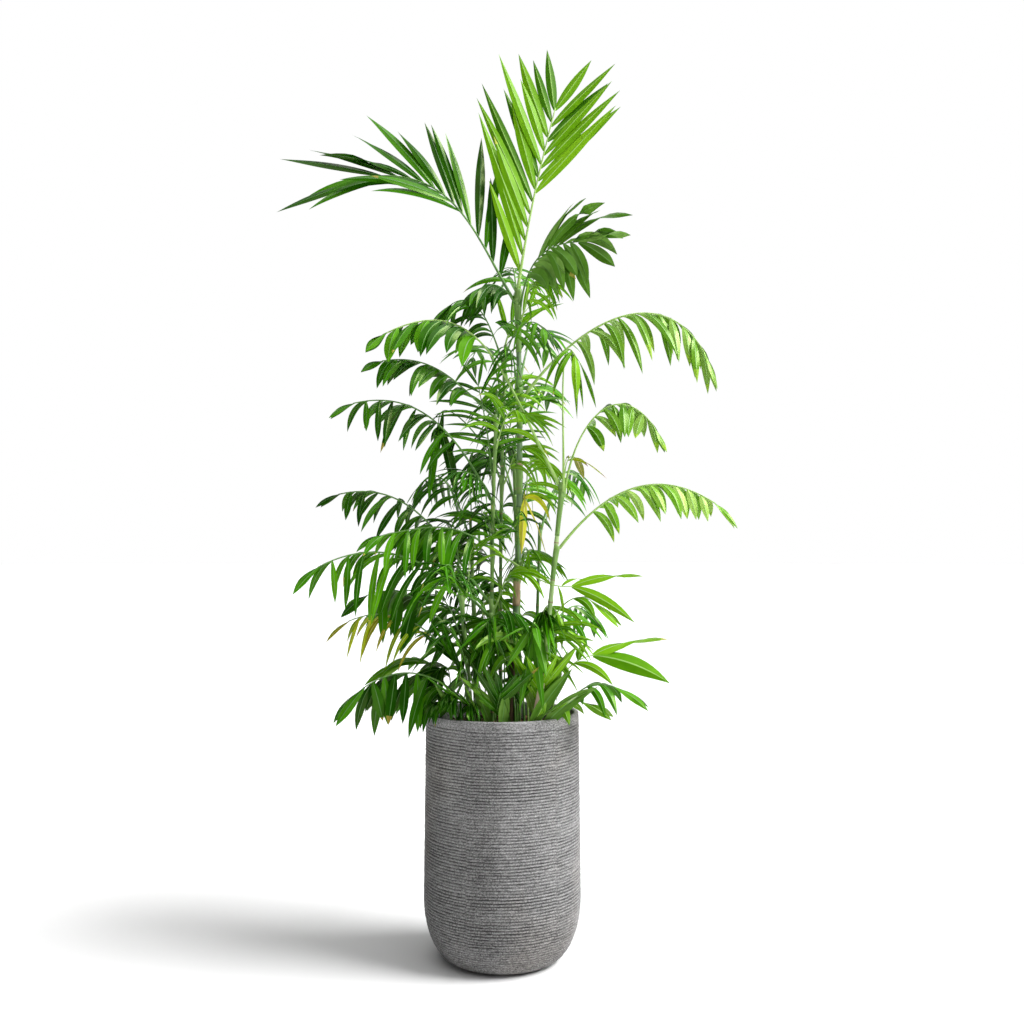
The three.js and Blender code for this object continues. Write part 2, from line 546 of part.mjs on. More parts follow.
// A frond: its rib, with the blades that found room.
function frondGeometry(rib, pairs) {
  const skin = new Skin();
  let low;
  let lowShare;
  for (const share of sharesOf(pairs)) {
    const high = skin.add(...ribRing(rib, share));
    if (!low) skin.cap([...high].reverse());
    else {
      const pair = pairs.find((candidate) => candidate.from === lowShare);
      const grown = pair ? pair.leaflets.filter((leaflet) => leaflet.blade) : [];
      for (const { side, blade } of grown) addBlade(skin, neckOf(low, high, side), blade, side);
      skin.band(low, high, grown.map((leaflet) => (leaflet.side > 0 ? KEEL : SECOND)));
    }
    low = high;
    lowShare = share;
  }
  skin.cap(low);
  return skin.geometry;
}

// Every piece placed so far, so that leaflets keep clear of all but the rib and the pair they belong to.
const placed = [];

function place(solid, owner, pair = null) {
  placed.push({ solid, owner, pair, box: solid.boundingBox() });
}

function clearOf(solid, owner, pair) {
  const { min, max } = solid.boundingBox();
  return placed.every((other) => {
    if (other.owner === owner && (other.pair === null || other.pair === pair)) return true;
    for (let axis = 0; axis < 3; axis++) {
      if (other.box.min[axis] > max[axis] + CLEARANCE) return true;
      if (other.box.max[axis] < min[axis] - CLEARANCE) return true;
    }
    return other.solid.minGap(solid, CLEARANCE) >= CLEARANCE;
  });
}

const group = new THREE.Group();

function addMesh(name, solid, hue) {
  const mesh = new THREE.Mesh(geometryOf(solid), new THREE.MeshStandardMaterial(hue));
  mesh.name = name;
  group.add(mesh);
}

const planter = solidOf(planterGeometry());
const soil = solidOf(soilGeometry());
place(planter, "planter");
place(soil, "soil");
addMesh("planter", planter, PLANTER_HUE);
addMesh("soil", soil, SOIL_HUE);

const carriers = { soil };
for (const [name, cane] of Object.entries(CANES)) {
  carriers[name] = solidOf(caneGeometry(cane));
  place(carriers[name], name);
  addMesh(`cane_${name}`, carriers[name], PALE_CANES.includes(name) ? PALE_CANE_HUE : CANE_HUE);
}

// Seats every rib a gap's width from what carries it.
const plans = [];
for (const [carrier, fronds] of Object.entries(FRONDS)) {
  for (const frond of fronds) {
    const rib = ribOf(frond, carrier);
    for (let pass = 0; pass < SEAT_PASSES; pass++) {
      const gap = carriers[carrier].minGap(solidOf(frondGeometry(rib, [])), SEAT_SEARCH);
      for (const p of [rib.curve.v0, rib.curve.v1, rib.curve.v2, rib.curve.v3])
        p.addScaledVector(rib.seatWay, GAP - gap);
    }
    const pairs = pairsOf(frond, rib, SEED_STEP * (plans.length + 1));
    place(solidOf(frondGeometry(rib, pairs)), frond.name);
    plans.push({ frond, rib, pairs });
  }
}

// Grows the fronds together, a pair of leaflets of each at a time from their ends back.
const rounds = Math.max(...plans.map((plan) => plan.pairs.length));
for (let i = 1; i <= rounds; i++) {
  for (const { frond, rib, pairs } of plans) {
    const pair = pairs.at(-i);
    if (!pair) continue;
    for (const leaflet of pair.leaflets) {
      const neck = neckOf(ribRing(rib, pair.from), ribRing(rib, pair.to), leaflet.side);
      for (const trial of TRIALS) {
        const blade = bladeOf(rib, pair, leaflet, neck, trial);
        const solid = bladeSolid(neck, blade, leaflet.side);
        if (!clearOf(solid, frond.name, pair)) continue;
        place(solid, frond.name, pair);
        leaflet.blade = blade;
        break;
      }
    }
  }
}
for (const { frond, rib, pairs } of plans)
  addMesh(`frond_${frond.name}`, solidOf(frondGeometry(rib, pairs)), HUES[frond.hue]);

export default group;
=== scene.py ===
"""A potted bamboo palm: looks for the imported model.

The ribs and leaflets grow here by the same rule as the model's solids, with finer blades, and on some large
fronds with more of them. The plant's own sizes are in millimetres and become metres where a mesh is made.
"""

from math import cos, degrees, exp, hypot, pi, radians, sin, sqrt

import bmesh
import bpy
import numpy as np
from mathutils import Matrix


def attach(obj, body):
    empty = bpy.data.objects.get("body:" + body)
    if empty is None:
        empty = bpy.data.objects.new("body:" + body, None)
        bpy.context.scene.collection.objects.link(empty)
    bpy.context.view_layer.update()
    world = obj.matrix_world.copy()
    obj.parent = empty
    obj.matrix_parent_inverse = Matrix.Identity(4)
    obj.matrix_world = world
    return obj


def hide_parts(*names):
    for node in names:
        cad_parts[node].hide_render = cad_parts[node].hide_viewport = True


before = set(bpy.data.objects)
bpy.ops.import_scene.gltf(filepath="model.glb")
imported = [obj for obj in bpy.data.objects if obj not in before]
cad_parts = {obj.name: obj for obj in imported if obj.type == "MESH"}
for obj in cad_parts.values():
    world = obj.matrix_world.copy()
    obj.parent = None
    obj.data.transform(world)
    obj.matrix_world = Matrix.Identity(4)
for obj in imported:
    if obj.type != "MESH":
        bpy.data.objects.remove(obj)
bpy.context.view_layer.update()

MM = 0.001

# Camera, in metres: a little below the middle of the plant, looking slightly up
CAMERA_PLACE = (0.0197, -2.392, 0.842)
CAMERA_RISE = 1.63
CAMERA_LENS = 40.64
CAMERA_SENSOR = 36

# Studio, in metres
AMBIENT = 0.15
# Lamps: name, strength, softness, height above the level and side, in degrees
LAMPS = (
    ("key", 4.7, 34, 46, -12),
    ("top", 1.6, 80, 78, -30),
)
FLOOR_SIZE = 60
FLOOR_LEVEL = -0.0004
FLOOR_COLOUR = (0.82, 0.82, 0.82, 1)
DOME_RADIUS = 50
WHITE = (1, 1, 1, 1)
BLACK = (0, 0, 0, 1)

# Planter
POT_HEIGHT = 500
POT_RADIUS = 160
RIM_RADIUS = 156.5
FOOT_RADIUS = 96
TURN_HEIGHT = 126
WALL = 10
RIM_ROUND = 3
RIM_STEPS = 5
POT_COLUMNS = 176
INSIDE_DEPTH = 60
INSIDE_STEPS = 9
RIDGE_PITCH = 5.9
RIDGE_DEPTH = 2
RIDGE_STRENGTH = 0.85
RIDGE_LIMITS = (0.15, 1.3)
RIDGE_END = 0.1
RIDGES_START = 14
RIDGES_GROW = 20
RIDGES_STOP = 9
RIDGES_FADE = 8
ROWS_PER_RIDGE = 5
GROOVE_SHARPNESS = 2.4
GROOVE_LEVEL = 0.3
# How dark the grooves are painted: painted shade and dirt
GROOVE_SHADE_AND_DIRT = 0.95
GRIT = 0.28
# How much raised grit takes off the painted shade and dirt
GRIT_SHADE_AND_DIRT = 0.2
SEAMS = (-116, -48)
SEAM_HEIGHT = 0.5
SEAM_SHIFT = 0.3
SEAM_SPREAD = 0.02
# Noise on the planter, in layers: height, rows and columns in a cell, seed
WOBBLE = ((0.16, 9, 16, 11), (0.07, 5, 3, 12))
RIDGE_PATCHES = ((0.35, 22, 40, 23), (0.35, 3, 1.5, 24))
GRAINS = ((1, 1.6, 1.2, 37), (0.6, 4, 4, 38))
RIM_RIPPLE = ((0.35, 1, 9, 5),)

# Soil
SOIL_RADIUS = 146
SOIL_BUMPS = ((4, 2, 5, 71),)
SOIL_SINK = 5
SOIL_ROWS = 30
SOIL_COLUMNS = 96
CHIPS = 420
CHIP_SEED = 4242
CHIP_MARGIN = 8
CHIP_SIZE = 5
CHIP_JITTER = 3
# A chip's shape in shares of its size: places along it and the radius there
CHIP_SHAPE = ((-1, 0.3), (-0.4, 0.5), (0.5, 0.45), (1, 0.2))
CHIP_SIDES = 5
CHIP_SQUEEZE = 0.5

# Canes and the rings round them
CANE_STEP = 6
CANE_SIDES = 14
JOINT_SPACING = 52
JOINT_JITTER = 0.25
JOINT_CROWDING = 0.6
JOINT_STRETCH = 700
JOINT_SEED = 31
JOINT_LOWEST = 14
JOINT_HIGHEST = 20
RING_LEVELS = (-5, -1.6, -1.2, 1.2, 1.6, 6)
RING_HALF = 1.3
RING_SWELL = 0.16
RING_SPREAD = 4.5
GREEN, SCAR = 0, 1

# Sheaths
SHEATH_SEED = 900
SHEATH_LENGTH = 62
SHEATH_JITTER = 14
SHEATH_RINGS = 12
SHEATH_SIDES = 12
SHEATH_FIT = (1.14, 1.22)
SHEATH_OPENING = 0.55
SHEATH_LEAN = 0.9
PAPERY, FIBROUS, CREAM = 0, 1, 2
# Old ones: kind, lowest and highest point, slack
OLD_SHEATHS = ((PAPERY, 716, 806, 1.2), (FIBROUS, 470, 655, 2.4), (PAPERY, 1000, 1014, 0.8))
OLD_SHEATH_LAYERS = 2
OLD_SHEATH_STEP = 14
OLD_SHEATH_SEED = 60
OLD_SHEATH_RINGS = 16
OLD_SHEATH_SIDES = 11
OLD_SHEATH_FIT = 1.12
OLD_SHEATH_SLACK = 0.1
OLD_SHEATH_JITTER = 0.05
STUB = ((64, -112, 500), (81, -110, 599))
STUB_RADIUS = 7.5
STUB_BEND = 2.5
STUB_SIDES = 9
STUB_SQUEEZE = 0.55

# The rule of growth
SOIL_TOP = 468
CANE_FOOT = SOIL_TOP - 4
RIB_TIP = 0.5
RIB_THIN = 1.5
RIB_GAIN = 1 / 280
RIB_FOOT = 1.25
RIB_EASE = 0.35
RIB_STEPS = 26
RIB_SIDES = 8
LEAF_RINGS = 11
LEAF_COLUMNS = np.array([-1, -0.55, -0.08, 0, 0.08, 0.55, 1])
LEAF_BASE = 0.2
LEAF_SHOULDER = 0.75
LEAF_TAPER = 2.2
LEAF_POINT = 0.25
LEAF_FOLD = 0.22
MIDRIB = 0.25
MIDRIB_SHARE = 0.2
SHORTENING = 0.4
STAGGER = 0.15
TWIST = 0.35
CURL = 0.15
END_AT = 0.99
END_TWIST = 0.3
END_DROOP = 0.4
LENGTH_JITTER = 0.2
SAG_JITTER = 0.4
WIDTH_JITTER = 0.15
FOLD_JITTER = 0.5
SEED_STEP = 7919
STRAP_STALK = 12
STRAP_ROLL = 70
SPROUTS = 20
SPROUT_SEED = 777
SPROUT_SPREAD = 112
SPROUT_FRONT = 45
OVERHANG = 7
OVERHANG_SEED = 3131
OVERHANG_FROM = 188
OVERHANG_TO = 244
FULL_CANES = ("left", "centre", "tall", "low_left", "back", "back_left")
INNER_ROUNDS = 5
INNER_SEED = 5151
INNER_FROM = 0.32
INNER_TO = 0.98
INNER_SHY = 0.6
GOLDEN_ANGLE = radians(137.5)
UP = np.array([0.0, 0.0, 1.0])

CANES = {
    "tall": dict(foot=(14, 6), top=(31, 8), height=1372, bow=12, radii=(7, 5)),
    "right": dict(foot=(72, -34), top=(122, -44), height=968, bow=0, radii=(5.6, 4)),
    "left": dict(foot=(-20, -26), top=(-11, -30), height=1158, bow=-5, radii=(3.8, 2.6)),
    "centre": dict(foot=(-4, 34), top=(5, 20), height=1256, bow=-4, radii=(4, 2.6)),
    "low_left": dict(foot=(-58, -44), top=(-86, -50), height=800, bow=-2, radii=(4, 2.6)),
    "back": dict(foot=(34, 78), top=(22, 104), height=1060, bow=4, radii=(4.6, 3)),
    "back_left": dict(foot=(-52, 52), top=(-70, 88), height=905, bow=0, radii=(4.2, 2.8)),
    "back_right": dict(foot=(66, 44), top=(80, 96), height=890, bow=0, radii=(4.2, 2.8)),
}

HABITS = {
    "upswept": dict(splay=30, lift=6, sag=0.1, narrowing=0, longest=0, jitter=5),
    "plume": dict(splay=52, lift=28, sag=0.6, narrowing=0.25, longest=0.3, jitter=6),
    "arching": dict(splay=56, lift=-6, sag=1.4, narrowing=0.4, longest=0.4, jitter=14),
    "hanging": dict(splay=62, lift=-36, sag=1.6, narrowing=0.35, longest=0.4, jitter=14),
    "weeping": dict(splay=66, lift=-46, sag=2.4, narrowing=0.35, longest=0.4, jitter=15),
    "comb": dict(splay=68, lift=0, sag=0.6, narrowing=0.4, longest=0.4, jitter=9),
}

# What holds for a frond that isn't given its own
BASICS = dict(roll=0, reach=0.42, bare=0.3, hue="mid", widest=0.42, shortening=SHORTENING)
BASICS.update(ends=(1, -1), end_splay=20)


def grow(name, at, az, out, up, rise, fall, leaf, habit, pairs, **more):
    """A frond: its name, its place on what carries it, its heading, how far out and up its rib ends, how
    steeply it rises and falls, its leaflets' length and width, habit and pairs, and what sets it apart."""
    row = dict(BASICS, name=name, at=at, az=az, out=out, up=up, rise=rise, fall=fall)
    row.update(leaf=leaf, habit=habit, pairs=pairs, **more)
    return row


FRONDS = {}
FRONDS["tall"] = [
    grow("top_upright", 1373, 30, 94, 404, 80, -74, (250, 23), "upswept", 12, roll=60, bare=(0.04, 0.5),
         splay=(30, 31), lift=10, longest=0.15, shortening=0.4, hue="bright", end=(140, 22)),
    grow("top_left", 1352, 178, 285, 266, 60, 2, (212, 20), "plume", 12, roll=-55, bare=(0.45, 0.1),
         splay=(32, 34), lift=(8, 18), sag=(0.6, 0.4), narrowing=0.45, shortening=0.2, hue="dark",
         end=(232, 22), widest=0.5),
    grow("top_right", 1338, 322, 150, 112, 80, 8, (152, 25), "comb", 10, roll=72, reach=0.5,
         bare=(0.5, 0.24), splay=(46, 64), lift=(4, 10), sag=(1.3, 1), shortening=0.2, end=(118, 24),
         widest=0.58),
    grow("top_front", 1344, 214, 80, 26, 58, 30, (115, 17), "hanging", 4, bare=0.2, splay=55, jitter=12,
         hue="dark"),
    grow("top_back", 1322, 95, 210, 130, 66, 15, (125, 15), "arching", 6, bare=0.25),
    grow("crown_right", 1150, 357, 376, 87, 55, 62, (130, 18), "hanging", 10, reach=0.49, bare=0.27,
         splay=(56, 68), lift=(6, -44), sag=(2.8, 1.7), narrowing=0.25, shortening=0.35, jitter=18,
         hue="light", end=(88, 15)),
    grow("crown_back", 1180, 75, 250, 120, 62, 35, (115, 16), "arching", 7),
    grow("turning", 916, 300, 16, 22, 66, 60, (95, 12), "weeping", 1, bare=0.4, splay=30, lift=-40,
         hue="yellow", end=(124, 17)),
]
FRONDS["right"] = [
    grow("crown_left", 966, 182, 358, 302, 62, 28, (98, 25), "hanging", 7, reach=0.5, bare=0.55,
         splay=(72, 56), lift=(-40, 0), widest=0.5),
    grow("near_right", 950, 300, 48, 268, 86, 50, (124, 19), "weeping", 2, bare=0.86, splay=(50, 84),
         lift=(-72, -26), sag=(3, 1.8), jitter=8, shortening=0, hue="bright", end=(118, 18)),
    grow("mid_right", 940, 5, 188, 142, 84, 55, (78, 19), "hanging", 7, reach=0.61, bare=0.36,
         splay=(50, 88), lift=(0, -54), sag=(1.8, 1.2), narrowing=0.2, shortening=0.15, jitter=16,
         hue="light", end=(62, 15), widest=0.5),
    grow("low_right", 836, 357, 316, 90, 53, 34, (88, 18), "hanging", 10, reach=0.45, bare=0.22,
         splay=(54, 74), lift=(4, -48), sag=(2.4, 1.4), narrowing=0.25, shortening=0.55, jitter=20,
         hue="light", end=(72, 12)),
    grow("right_blade", 690, 348, 80, 42, 62, 30, (90, 15), "arching", 1, bare=0.5, hue="bright",
         end=(85, 18)),
    grow("near_low", 640, 262, 46, 66, 76, 52, (118, 19), "weeping", 5, splay=54, lift=-56),
    grow("dry", 925, 52, 48, 98, 76, 16, (60, 8), "arching", 1, bare=0.6, hue="yellow", end=(92, 15)),
]
FRONDS["left"] = [
    grow("upper_left", 1105, 184, 228, 112, 42, 10, (92, 18), "hanging", 8, bare=0.2, splay=(66, 46),
         lift=(-34, 4), hue="dark"),
    grow("comb_left", 985, 150, 34, 190, 84, -76, (110, 7), "comb", 9, roll=-60, bare=0.15),
    grow("mid_left", 935, 184, 280, 196, 63, 14, (108, 12.5), "hanging", 9, splay=(84, 44), lift=(-62, 6),
         sag=(1.2, 2), narrowing=0.15, jitter=16, hue="dark", widest=0.55),
    grow("left_front", 838, 202, 225, 25, 36, 12, (112, 15), "weeping", 8, bare=0.1, splay=(76, 46),
         lift=(-58, 10), narrowing=0.2, jitter=18),
    grow("left_high", 728, 172, 318, 222, 52, 12, (100, 13.5), "hanging", 10, bare=0.26, splay=(78, 44),
         lift=(-54, 8), sag=(1.3, 2), narrowing=0.2, jitter=18, hue="dark", widest=0.5),
    grow("left_long", 700, 190, 345, 100, 46, 28, (134, 13.5), "weeping", 9, bare=0.2, splay=(84, 40),
         lift=(-74, 0), sag=(1.2, 2.4), narrowing=0.1, jitter=14, widest=0.5),
    grow("fork_right", 826, 350, 160, -66, -20, -4, (60, 7), "arching", 1, roll=72, bare=0.8, lift=0,
         hue="bright", end=(148, 22)),
]
FRONDS["centre"] = [
    grow("spear", 1257, 20, 55, 90, 80, -50, (110, 10), "upswept", 4, roll=60, bare=0.1, hue="bright"),
    grow("nod_front", 1230, 300, 150, 40, 72, 40, (105, 14), "hanging", 6, bare=0.25, splay=(66, 50),
         lift=(-30, 10)),
    grow("nod_back", 1140, 108, 230, 130, 62, 30, (110, 14), "arching", 6),
    grow("comb_right", 985, 52, 52, 190, 84, -70, (95, 7), "comb", 9, roll=38, bare=0.15),
    grow("inner_left", 985, 190, 128, 108, 72, 92, (85, 12), "hanging", 1, roll=50, reach=0.5, bare=0.75,
         hue="dark", end=(168, 27), widest=0.5),
]
FRONDS["low_left"] = [
    grow("left_low", 640, 174, 200, 100, 50, 22, (118, 22), "weeping", 4, bare=0.24, splay=(86, 44),
         lift=(-66, 4), sag=(1.4, 2.4), narrowing=0.1, jitter=18, hue="dark", widest=0.55),
    grow("left_yellow", 582, 180, 236, 108, 56, 24, (112, 8), "hanging", 7, splay=(72, 50),
         lift=(-52, -14), hue="yellow"),
    grow("left_skirt", 520, 198, 214, 44, 50, 34, (124, 20), "weeping", 6, bare=(0.4, 0.36),
         splay=(86, 52), lift=(-72, -30), sag=(0.8, 2), narrowing=0.1, jitter=16, hue="dark", end=(96, 20),
         widest=0.55),
    grow("fan_front", 742, 258, 115, 36, 52, 14, (125, 15), "arching", 4, roll=8, bare=0.22),
    grow("inner_low", 600, 322, 120, 110, 66, 20, (110, 11), "hanging", 6, bare=0.25),
]
FRONDS["back"] = [
    grow("back_high", 1050, 70, 240, 150, 66, 28, (115, 15), "arching", 8),
    grow("back_out", 930, 108, 290, 110, 60, 38, (115, 15), "hanging", 8, hue="dark"),
    grow("back_low", 740, 84, 270, 60, 50, 40, (115, 16), "hanging", 8, bare=0.25),
]
FRONDS["back_left"] = [
    grow("back_left_high", 850, 120, 250, 130, 62, 32, (105, 15), "hanging", 8, hue="dark"),
    grow("back_left_low", 650, 150, 250, 60, 48, 42, (115, 16), "hanging", 7, bare=0.25),
]
FRONDS["back_right"] = [
    grow("back_right_high", 870, 64, 240, 120, 62, 35, (105, 15), "hanging", 7),
    grow("back_right_low", 620, 52, 210, 60, 52, 45, (105, 16), "hanging", 6, bare=0.25),
]
FRONDS["soil"] = [
    grow("right_long", (96, -10), 358, 92, 148, 80, -10, (100, 20), "arching", 1, roll=46, bare=0.7,
         lift=4, sag=1.5, hue="bright", end=(168, 38)),
    grow("right_low", (98, -58), 352, 130, 90, 66, 20, (80, 15), "arching", 3, bare=0.45, end=(85, 18)),
    grow("base_right", (46, -96), 338, 44, 42, 54, -30, (80, 20), "upswept", 1, hue="bright", end=(96, 27)),
    grow("base_middle", (14, -98), 196, 26, 60, 80, -55, (90, 13), "upswept", 2, roll=-60, end=(100, 17)),
    grow("base_left", (-24, -100), 204, 48, 62, 66, -36, (90, 16), "upswept", 2, bare=0.4, end=(105, 19)),
    grow("base_out", (74, -74), 350, 88, 62, 62, 14, (70, 16), "arching", 1, bare=0.4, hue="bright",
         end=(72, 22)),
    grow("base_tall", (46, -66), 196, 70, 205, 84, 30, (150, 17), "weeping", 5, bare=0.4, splay=(60, 40),
         lift=(-56, -30)),
    grow("base_centre", (66, -72), 300, 30, 96, 82, -60, (105, 16), "upswept", 4, roll=-30, bare=0.2,
         splay=22, hue="bright", end=(115, 20)),
    grow("base_fill", (-66, -76), 250, 40, 170, 84, -50, (110, 12), "arching", 5, roll=-60, bare=0.35),
    grow("base_back", (0, 104), 96, 90, 150, 78, 10, (105, 18), "arching", 3, bare=0.4, end=(110, 24)),
    grow("base_back_left", (-92, 22), 160, 120, 130, 74, 20, (100, 17), "arching", 3, bare=0.4,
         end=(105, 22)),
]


def lerp(a, b, share):
    return a + (b - a) * share


def unit(v):
    return v / sqrt(v @ v)


def spot(distance, angle):
    return distance * cos(angle), distance * sin(angle)


class Draws:
    """A repeatable stream of numbers from -1 to 1."""

    def __init__(self, seed):
        self.state = seed

    def __call__(self):
        self.state = (self.state * 1664525 + 1013904223) & 0xFFFFFFFF
        return self.state / 2147483648 - 1


def cane_at(cane, share):
    """A cane's middle and radius at a share of its length."""
    x = lerp(cane["foot"][0], cane["top"][0], share) + cane["bow"] * sin(pi * share)
    y = lerp(cane["foot"][1], cane["top"][1], share)
    return np.array([x, y, lerp(CANE_FOOT, cane["height"], share)]), lerp(*cane["radii"], share)


def cane_by_level(cane, level):
    return cane_at(cane, (level - CANE_FOOT) / (cane["height"] - CANE_FOOT))


class Rib:
    """A frond's rib: a curve in an upright plane, with a frame along it."""

    def __init__(self, frond, carrier):
        az = radians(frond["az"])
        self.heading = np.array([cos(az), sin(az), 0.0])
        self.across = np.array([-self.heading[1], self.heading[0], 0.0])
        chord = hypot(frond["out"], frond["up"])
        self.radius = RIB_THIN + chord * RIB_GAIN
        cane = CANES.get(carrier)
        at = frond["at"]
        if cane is None:
            foot = np.array([at[0], at[1], SOIL_TOP])
        elif at > cane["height"]:
            foot = cane_at(cane, 1)[0]
        else:
            middle, radius = cane_at(cane, (at - SOIL_TOP) / (cane["height"] - SOIL_TOP))
            foot = middle + self.heading * (radius + self.radius)
        reach = frond["reach"] * chord
        rise = radians(frond["rise"])
        fall = radians(frond["fall"])
        end = foot + self.heading * frond["out"] + UP * frond["up"]
        self.points = [
            foot,
            foot + reach * (cos(rise) * self.heading + sin(rise) * UP),
            end - reach * (cos(fall) * self.heading - sin(fall) * UP),
            end,
        ]
        self.roll = radians(frond["roll"])

    def at(self, t):
        a, b, c, d = self.points
        s = 1 - t
        return s**3 * a + 3 * s * s * t * b + 3 * s * t * t * c + t**3 * d

    def frame(self, t):
        """The tangent, side and upper normal at a share of the rib."""
        a, b, c, d = self.points
        s = 1 - t
        along = unit(s * s * (b - a) + 2 * s * t * (c - b) + t * t * (d - c))
        above = np.cross(along, self.across)
        side = cos(self.roll) * self.across + sin(self.roll) * above
        return along, side, np.cross(along, side)

    def radius_at(self, t):
        return self.radius * lerp(1, RIB_TIP, t)


def outline(u, widest_at):
    """A leaflet's width at a share of its length, as a share of its widest."""
    if u < widest_at:
        return lerp(LEAF_BASE, 1, sin(pi / 2 * u / widest_at) ** LEAF_SHOULDER)
    v = (u - widest_at) / (1 - widest_at)
    return (1 - v**LEAF_TAPER) * (1 - LEAF_POINT * v**2)


def blade(rib, leaf):
    """A leaflet's surface: rings of points from its foot to its tip."""
    along, side, normal = rib.frame(leaf["t"])
    splay = radians(leaf["splay"])
    lift = radians(leaf["lift"])
    way = (
        along * cos(splay)
        + side * (leaf["side"] * sin(splay) * cos(lift))
        + normal * (sin(splay) * sin(lift))
    )
    point = rib.at(leaf["t"]) + side * (leaf["side"] * rib.radius_at(leaf["t"]) * 0.5)
    rings = []
    for i in range(LEAF_RINGS + 1):
        u = i / LEAF_RINGS
        forward = unit(along - (along @ way) * way)
        above = np.cross(forward, way) * leaf["side"]
        turn = leaf["twist"] * u
        edge = forward * cos(turn) + above * sin(turn)
        top = above * cos(turn) - forward * sin(turn)
        half = leaf["width"] / 2 * outline(u, leaf["widest"])
        fold = -leaf["fold"] * half * np.abs(LEAF_COLUMNS)
        fold[LEAF_COLUMNS == 0] += min(MIDRIB, half * MIDRIB_SHARE)
        rings.append(point + np.outer(LEAF_COLUMNS * half, edge) + np.outer(fold, top))
        point = point + way * (leaf["length"] / LEAF_RINGS)
        way = unit(way - UP * (leaf["sag"] / LEAF_RINGS) + along * (leaf["curl"] / LEAF_RINGS))
    return np.array(rings)


def sided(value, side):
    """A value that may be a pair, for the sides 1 and -1."""
    return value[0 if side > 0 else 1] if isinstance(value, tuple) else value


def leaflets(frond, seed):
    """How each leaflet of a frond is placed, sized and turned, from its foot up."""
    habit = {**HABITS[frond["habit"]], **frond}
    draw = Draws(seed)
    vary = Draws(seed + 1)
    longest, widest = frond["leaf"]
    jitter = habit["jitter"]
    bare = [sided(frond["bare"], side) for side in (1, -1)]
    found = []
    for i in range(frond["pairs"]):
        for side in (1, -1):
            along = (i + 0.5 + STAGGER * side) / (frond["pairs"] + 0.5)
            t = lerp(min(bare), 1, along)
            far = (along - habit["longest"]) / (1 - habit["longest"])
            leaf = dict(
                side=side,
                t=t,
                splay=sided(habit["splay"], side) * (1 - habit["narrowing"] * along) + jitter * draw(),
                lift=sided(habit["lift"], side) + jitter * draw(),
                length=longest * (1 - habit["shortening"] * far**2) * (1 + LENGTH_JITTER * draw()),
                sag=sided(habit["sag"], side) * (1 + SAG_JITTER * draw()),
                width=widest * (1 + WIDTH_JITTER * vary()),
                widest=habit["widest"],
                twist=TWIST * vary(),
                curl=CURL * vary(),
                fold=LEAF_FOLD * (1 + FOLD_JITTER * vary()),
                tint=vary(),
                tip=vary(),
            )
            if t >= sided(frond["bare"], side):
                found.append(leaf)
    length, width = frond.get("end", (longest * (1 - SHORTENING), widest))
    for side in frond["ends"]:
        last = dict(side=side, t=END_AT, splay=frond["end_splay"], length=length, width=width)
        last.update(lift=sided(habit["lift"], side) * END_DROOP, sag=sided(habit["sag"], side) * END_DROOP)
        last.update(twist=END_TWIST * vary(), curl=0, tint=vary(), tip=vary())
        last.update(fold=LEAF_FOLD, widest=habit["widest"])
        found.append(last)
    return found


def strap(name, at, rise, length, width, sag):
    """A broad upright blade at the foot of the clump. It leans left where its rise is over 90 degrees."""
    az, lean, roll = (180, 180 - rise, STRAP_ROLL) if rise > 90 else (0, rise, -STRAP_ROLL)
    out = STRAP_STALK * cos(radians(lean))
    up = STRAP_STALK * sin(radians(lean))
    row = grow(f"strap_{name}", at, az, out, up, lean, -lean, (length, width), "upswept", 0, roll=roll)
    row.update(end=(length, width), ends=(1,), end_splay=3, sag=sag)
    return row


def front():
    """Broad blades at the front of the clump, between the large fronds."""
    soil = [
        strap("left", (-12, -118), 115, 120, 20, 0.1),
        strap("left_long", (24, -114), 113, 150, 17, 0.2),
        strap("middle", (-2, -120), 86, 84, 22, 0.1),
        strap("right", (44, -120), 62, 150, 27, 0.9),
        strap("right_low", (66, -112), 52, 145, 26, 1.6),
        strap("far_left", (-70, -92), 122, 105, 15, 0.8),
    ]
    right = grow("gloss_front", 585, 256, 84, 92, 80, 84, (112, 19), "upswept", 2, bare=0.78, splay=24,
                 lift=0, sag=0.3, end=(162, 17), end_splay=9)
    left = grow("gloss_left", 600, 262, 64, 80, 80, 80, (100, 13), "upswept", 2, bare=0.7, splay=34,
                lift=0, sag=0.4, hue="dark", end=(120, 13), end_splay=12)
    return {"soil": soil, "right": [right], "left": [left]}


def undergrowth():
    """Young fronds that crowd the foot of the clump, too slight to be solids themselves."""
    draw = Draws(SPROUT_SEED)
    rows = []
    for i in range(SPROUTS):
        angle = i * GOLDEN_ANGLE
        distance = SPROUT_SPREAD * sqrt((i + 1) / SPROUTS)
        at = spot(distance, angle)
        az = degrees(angle) + 60 * draw()
        more = dict(bare=0.52, roll=40 * draw())
        leaf = (122 + 30 * draw(), 11 + 3 * draw())
        if at[1] < -SPROUT_FRONT:
            rib = (26 + 14 * draw(), 95 + 50 * draw(), 80, -50)
            habit = "upswept"
        else:
            rib = (40 + 24 * draw(), 215 - 0.6 * distance + 80 * draw(), 84, 26 + 30 * draw())
            habit = ("weeping", "arching", "weeping")[i % 3]
        # Painted light and shade: bright on the right, toward the key lamp, dark on the left, away from it
        more["hue"] = "bright" if at[0] > 50 else ("dark" if at[0] < 0 else "mid")
        rows.append(grow(f"sprout_{i}", at, az, *rib, leaf, habit, 3, **more))
    return rows


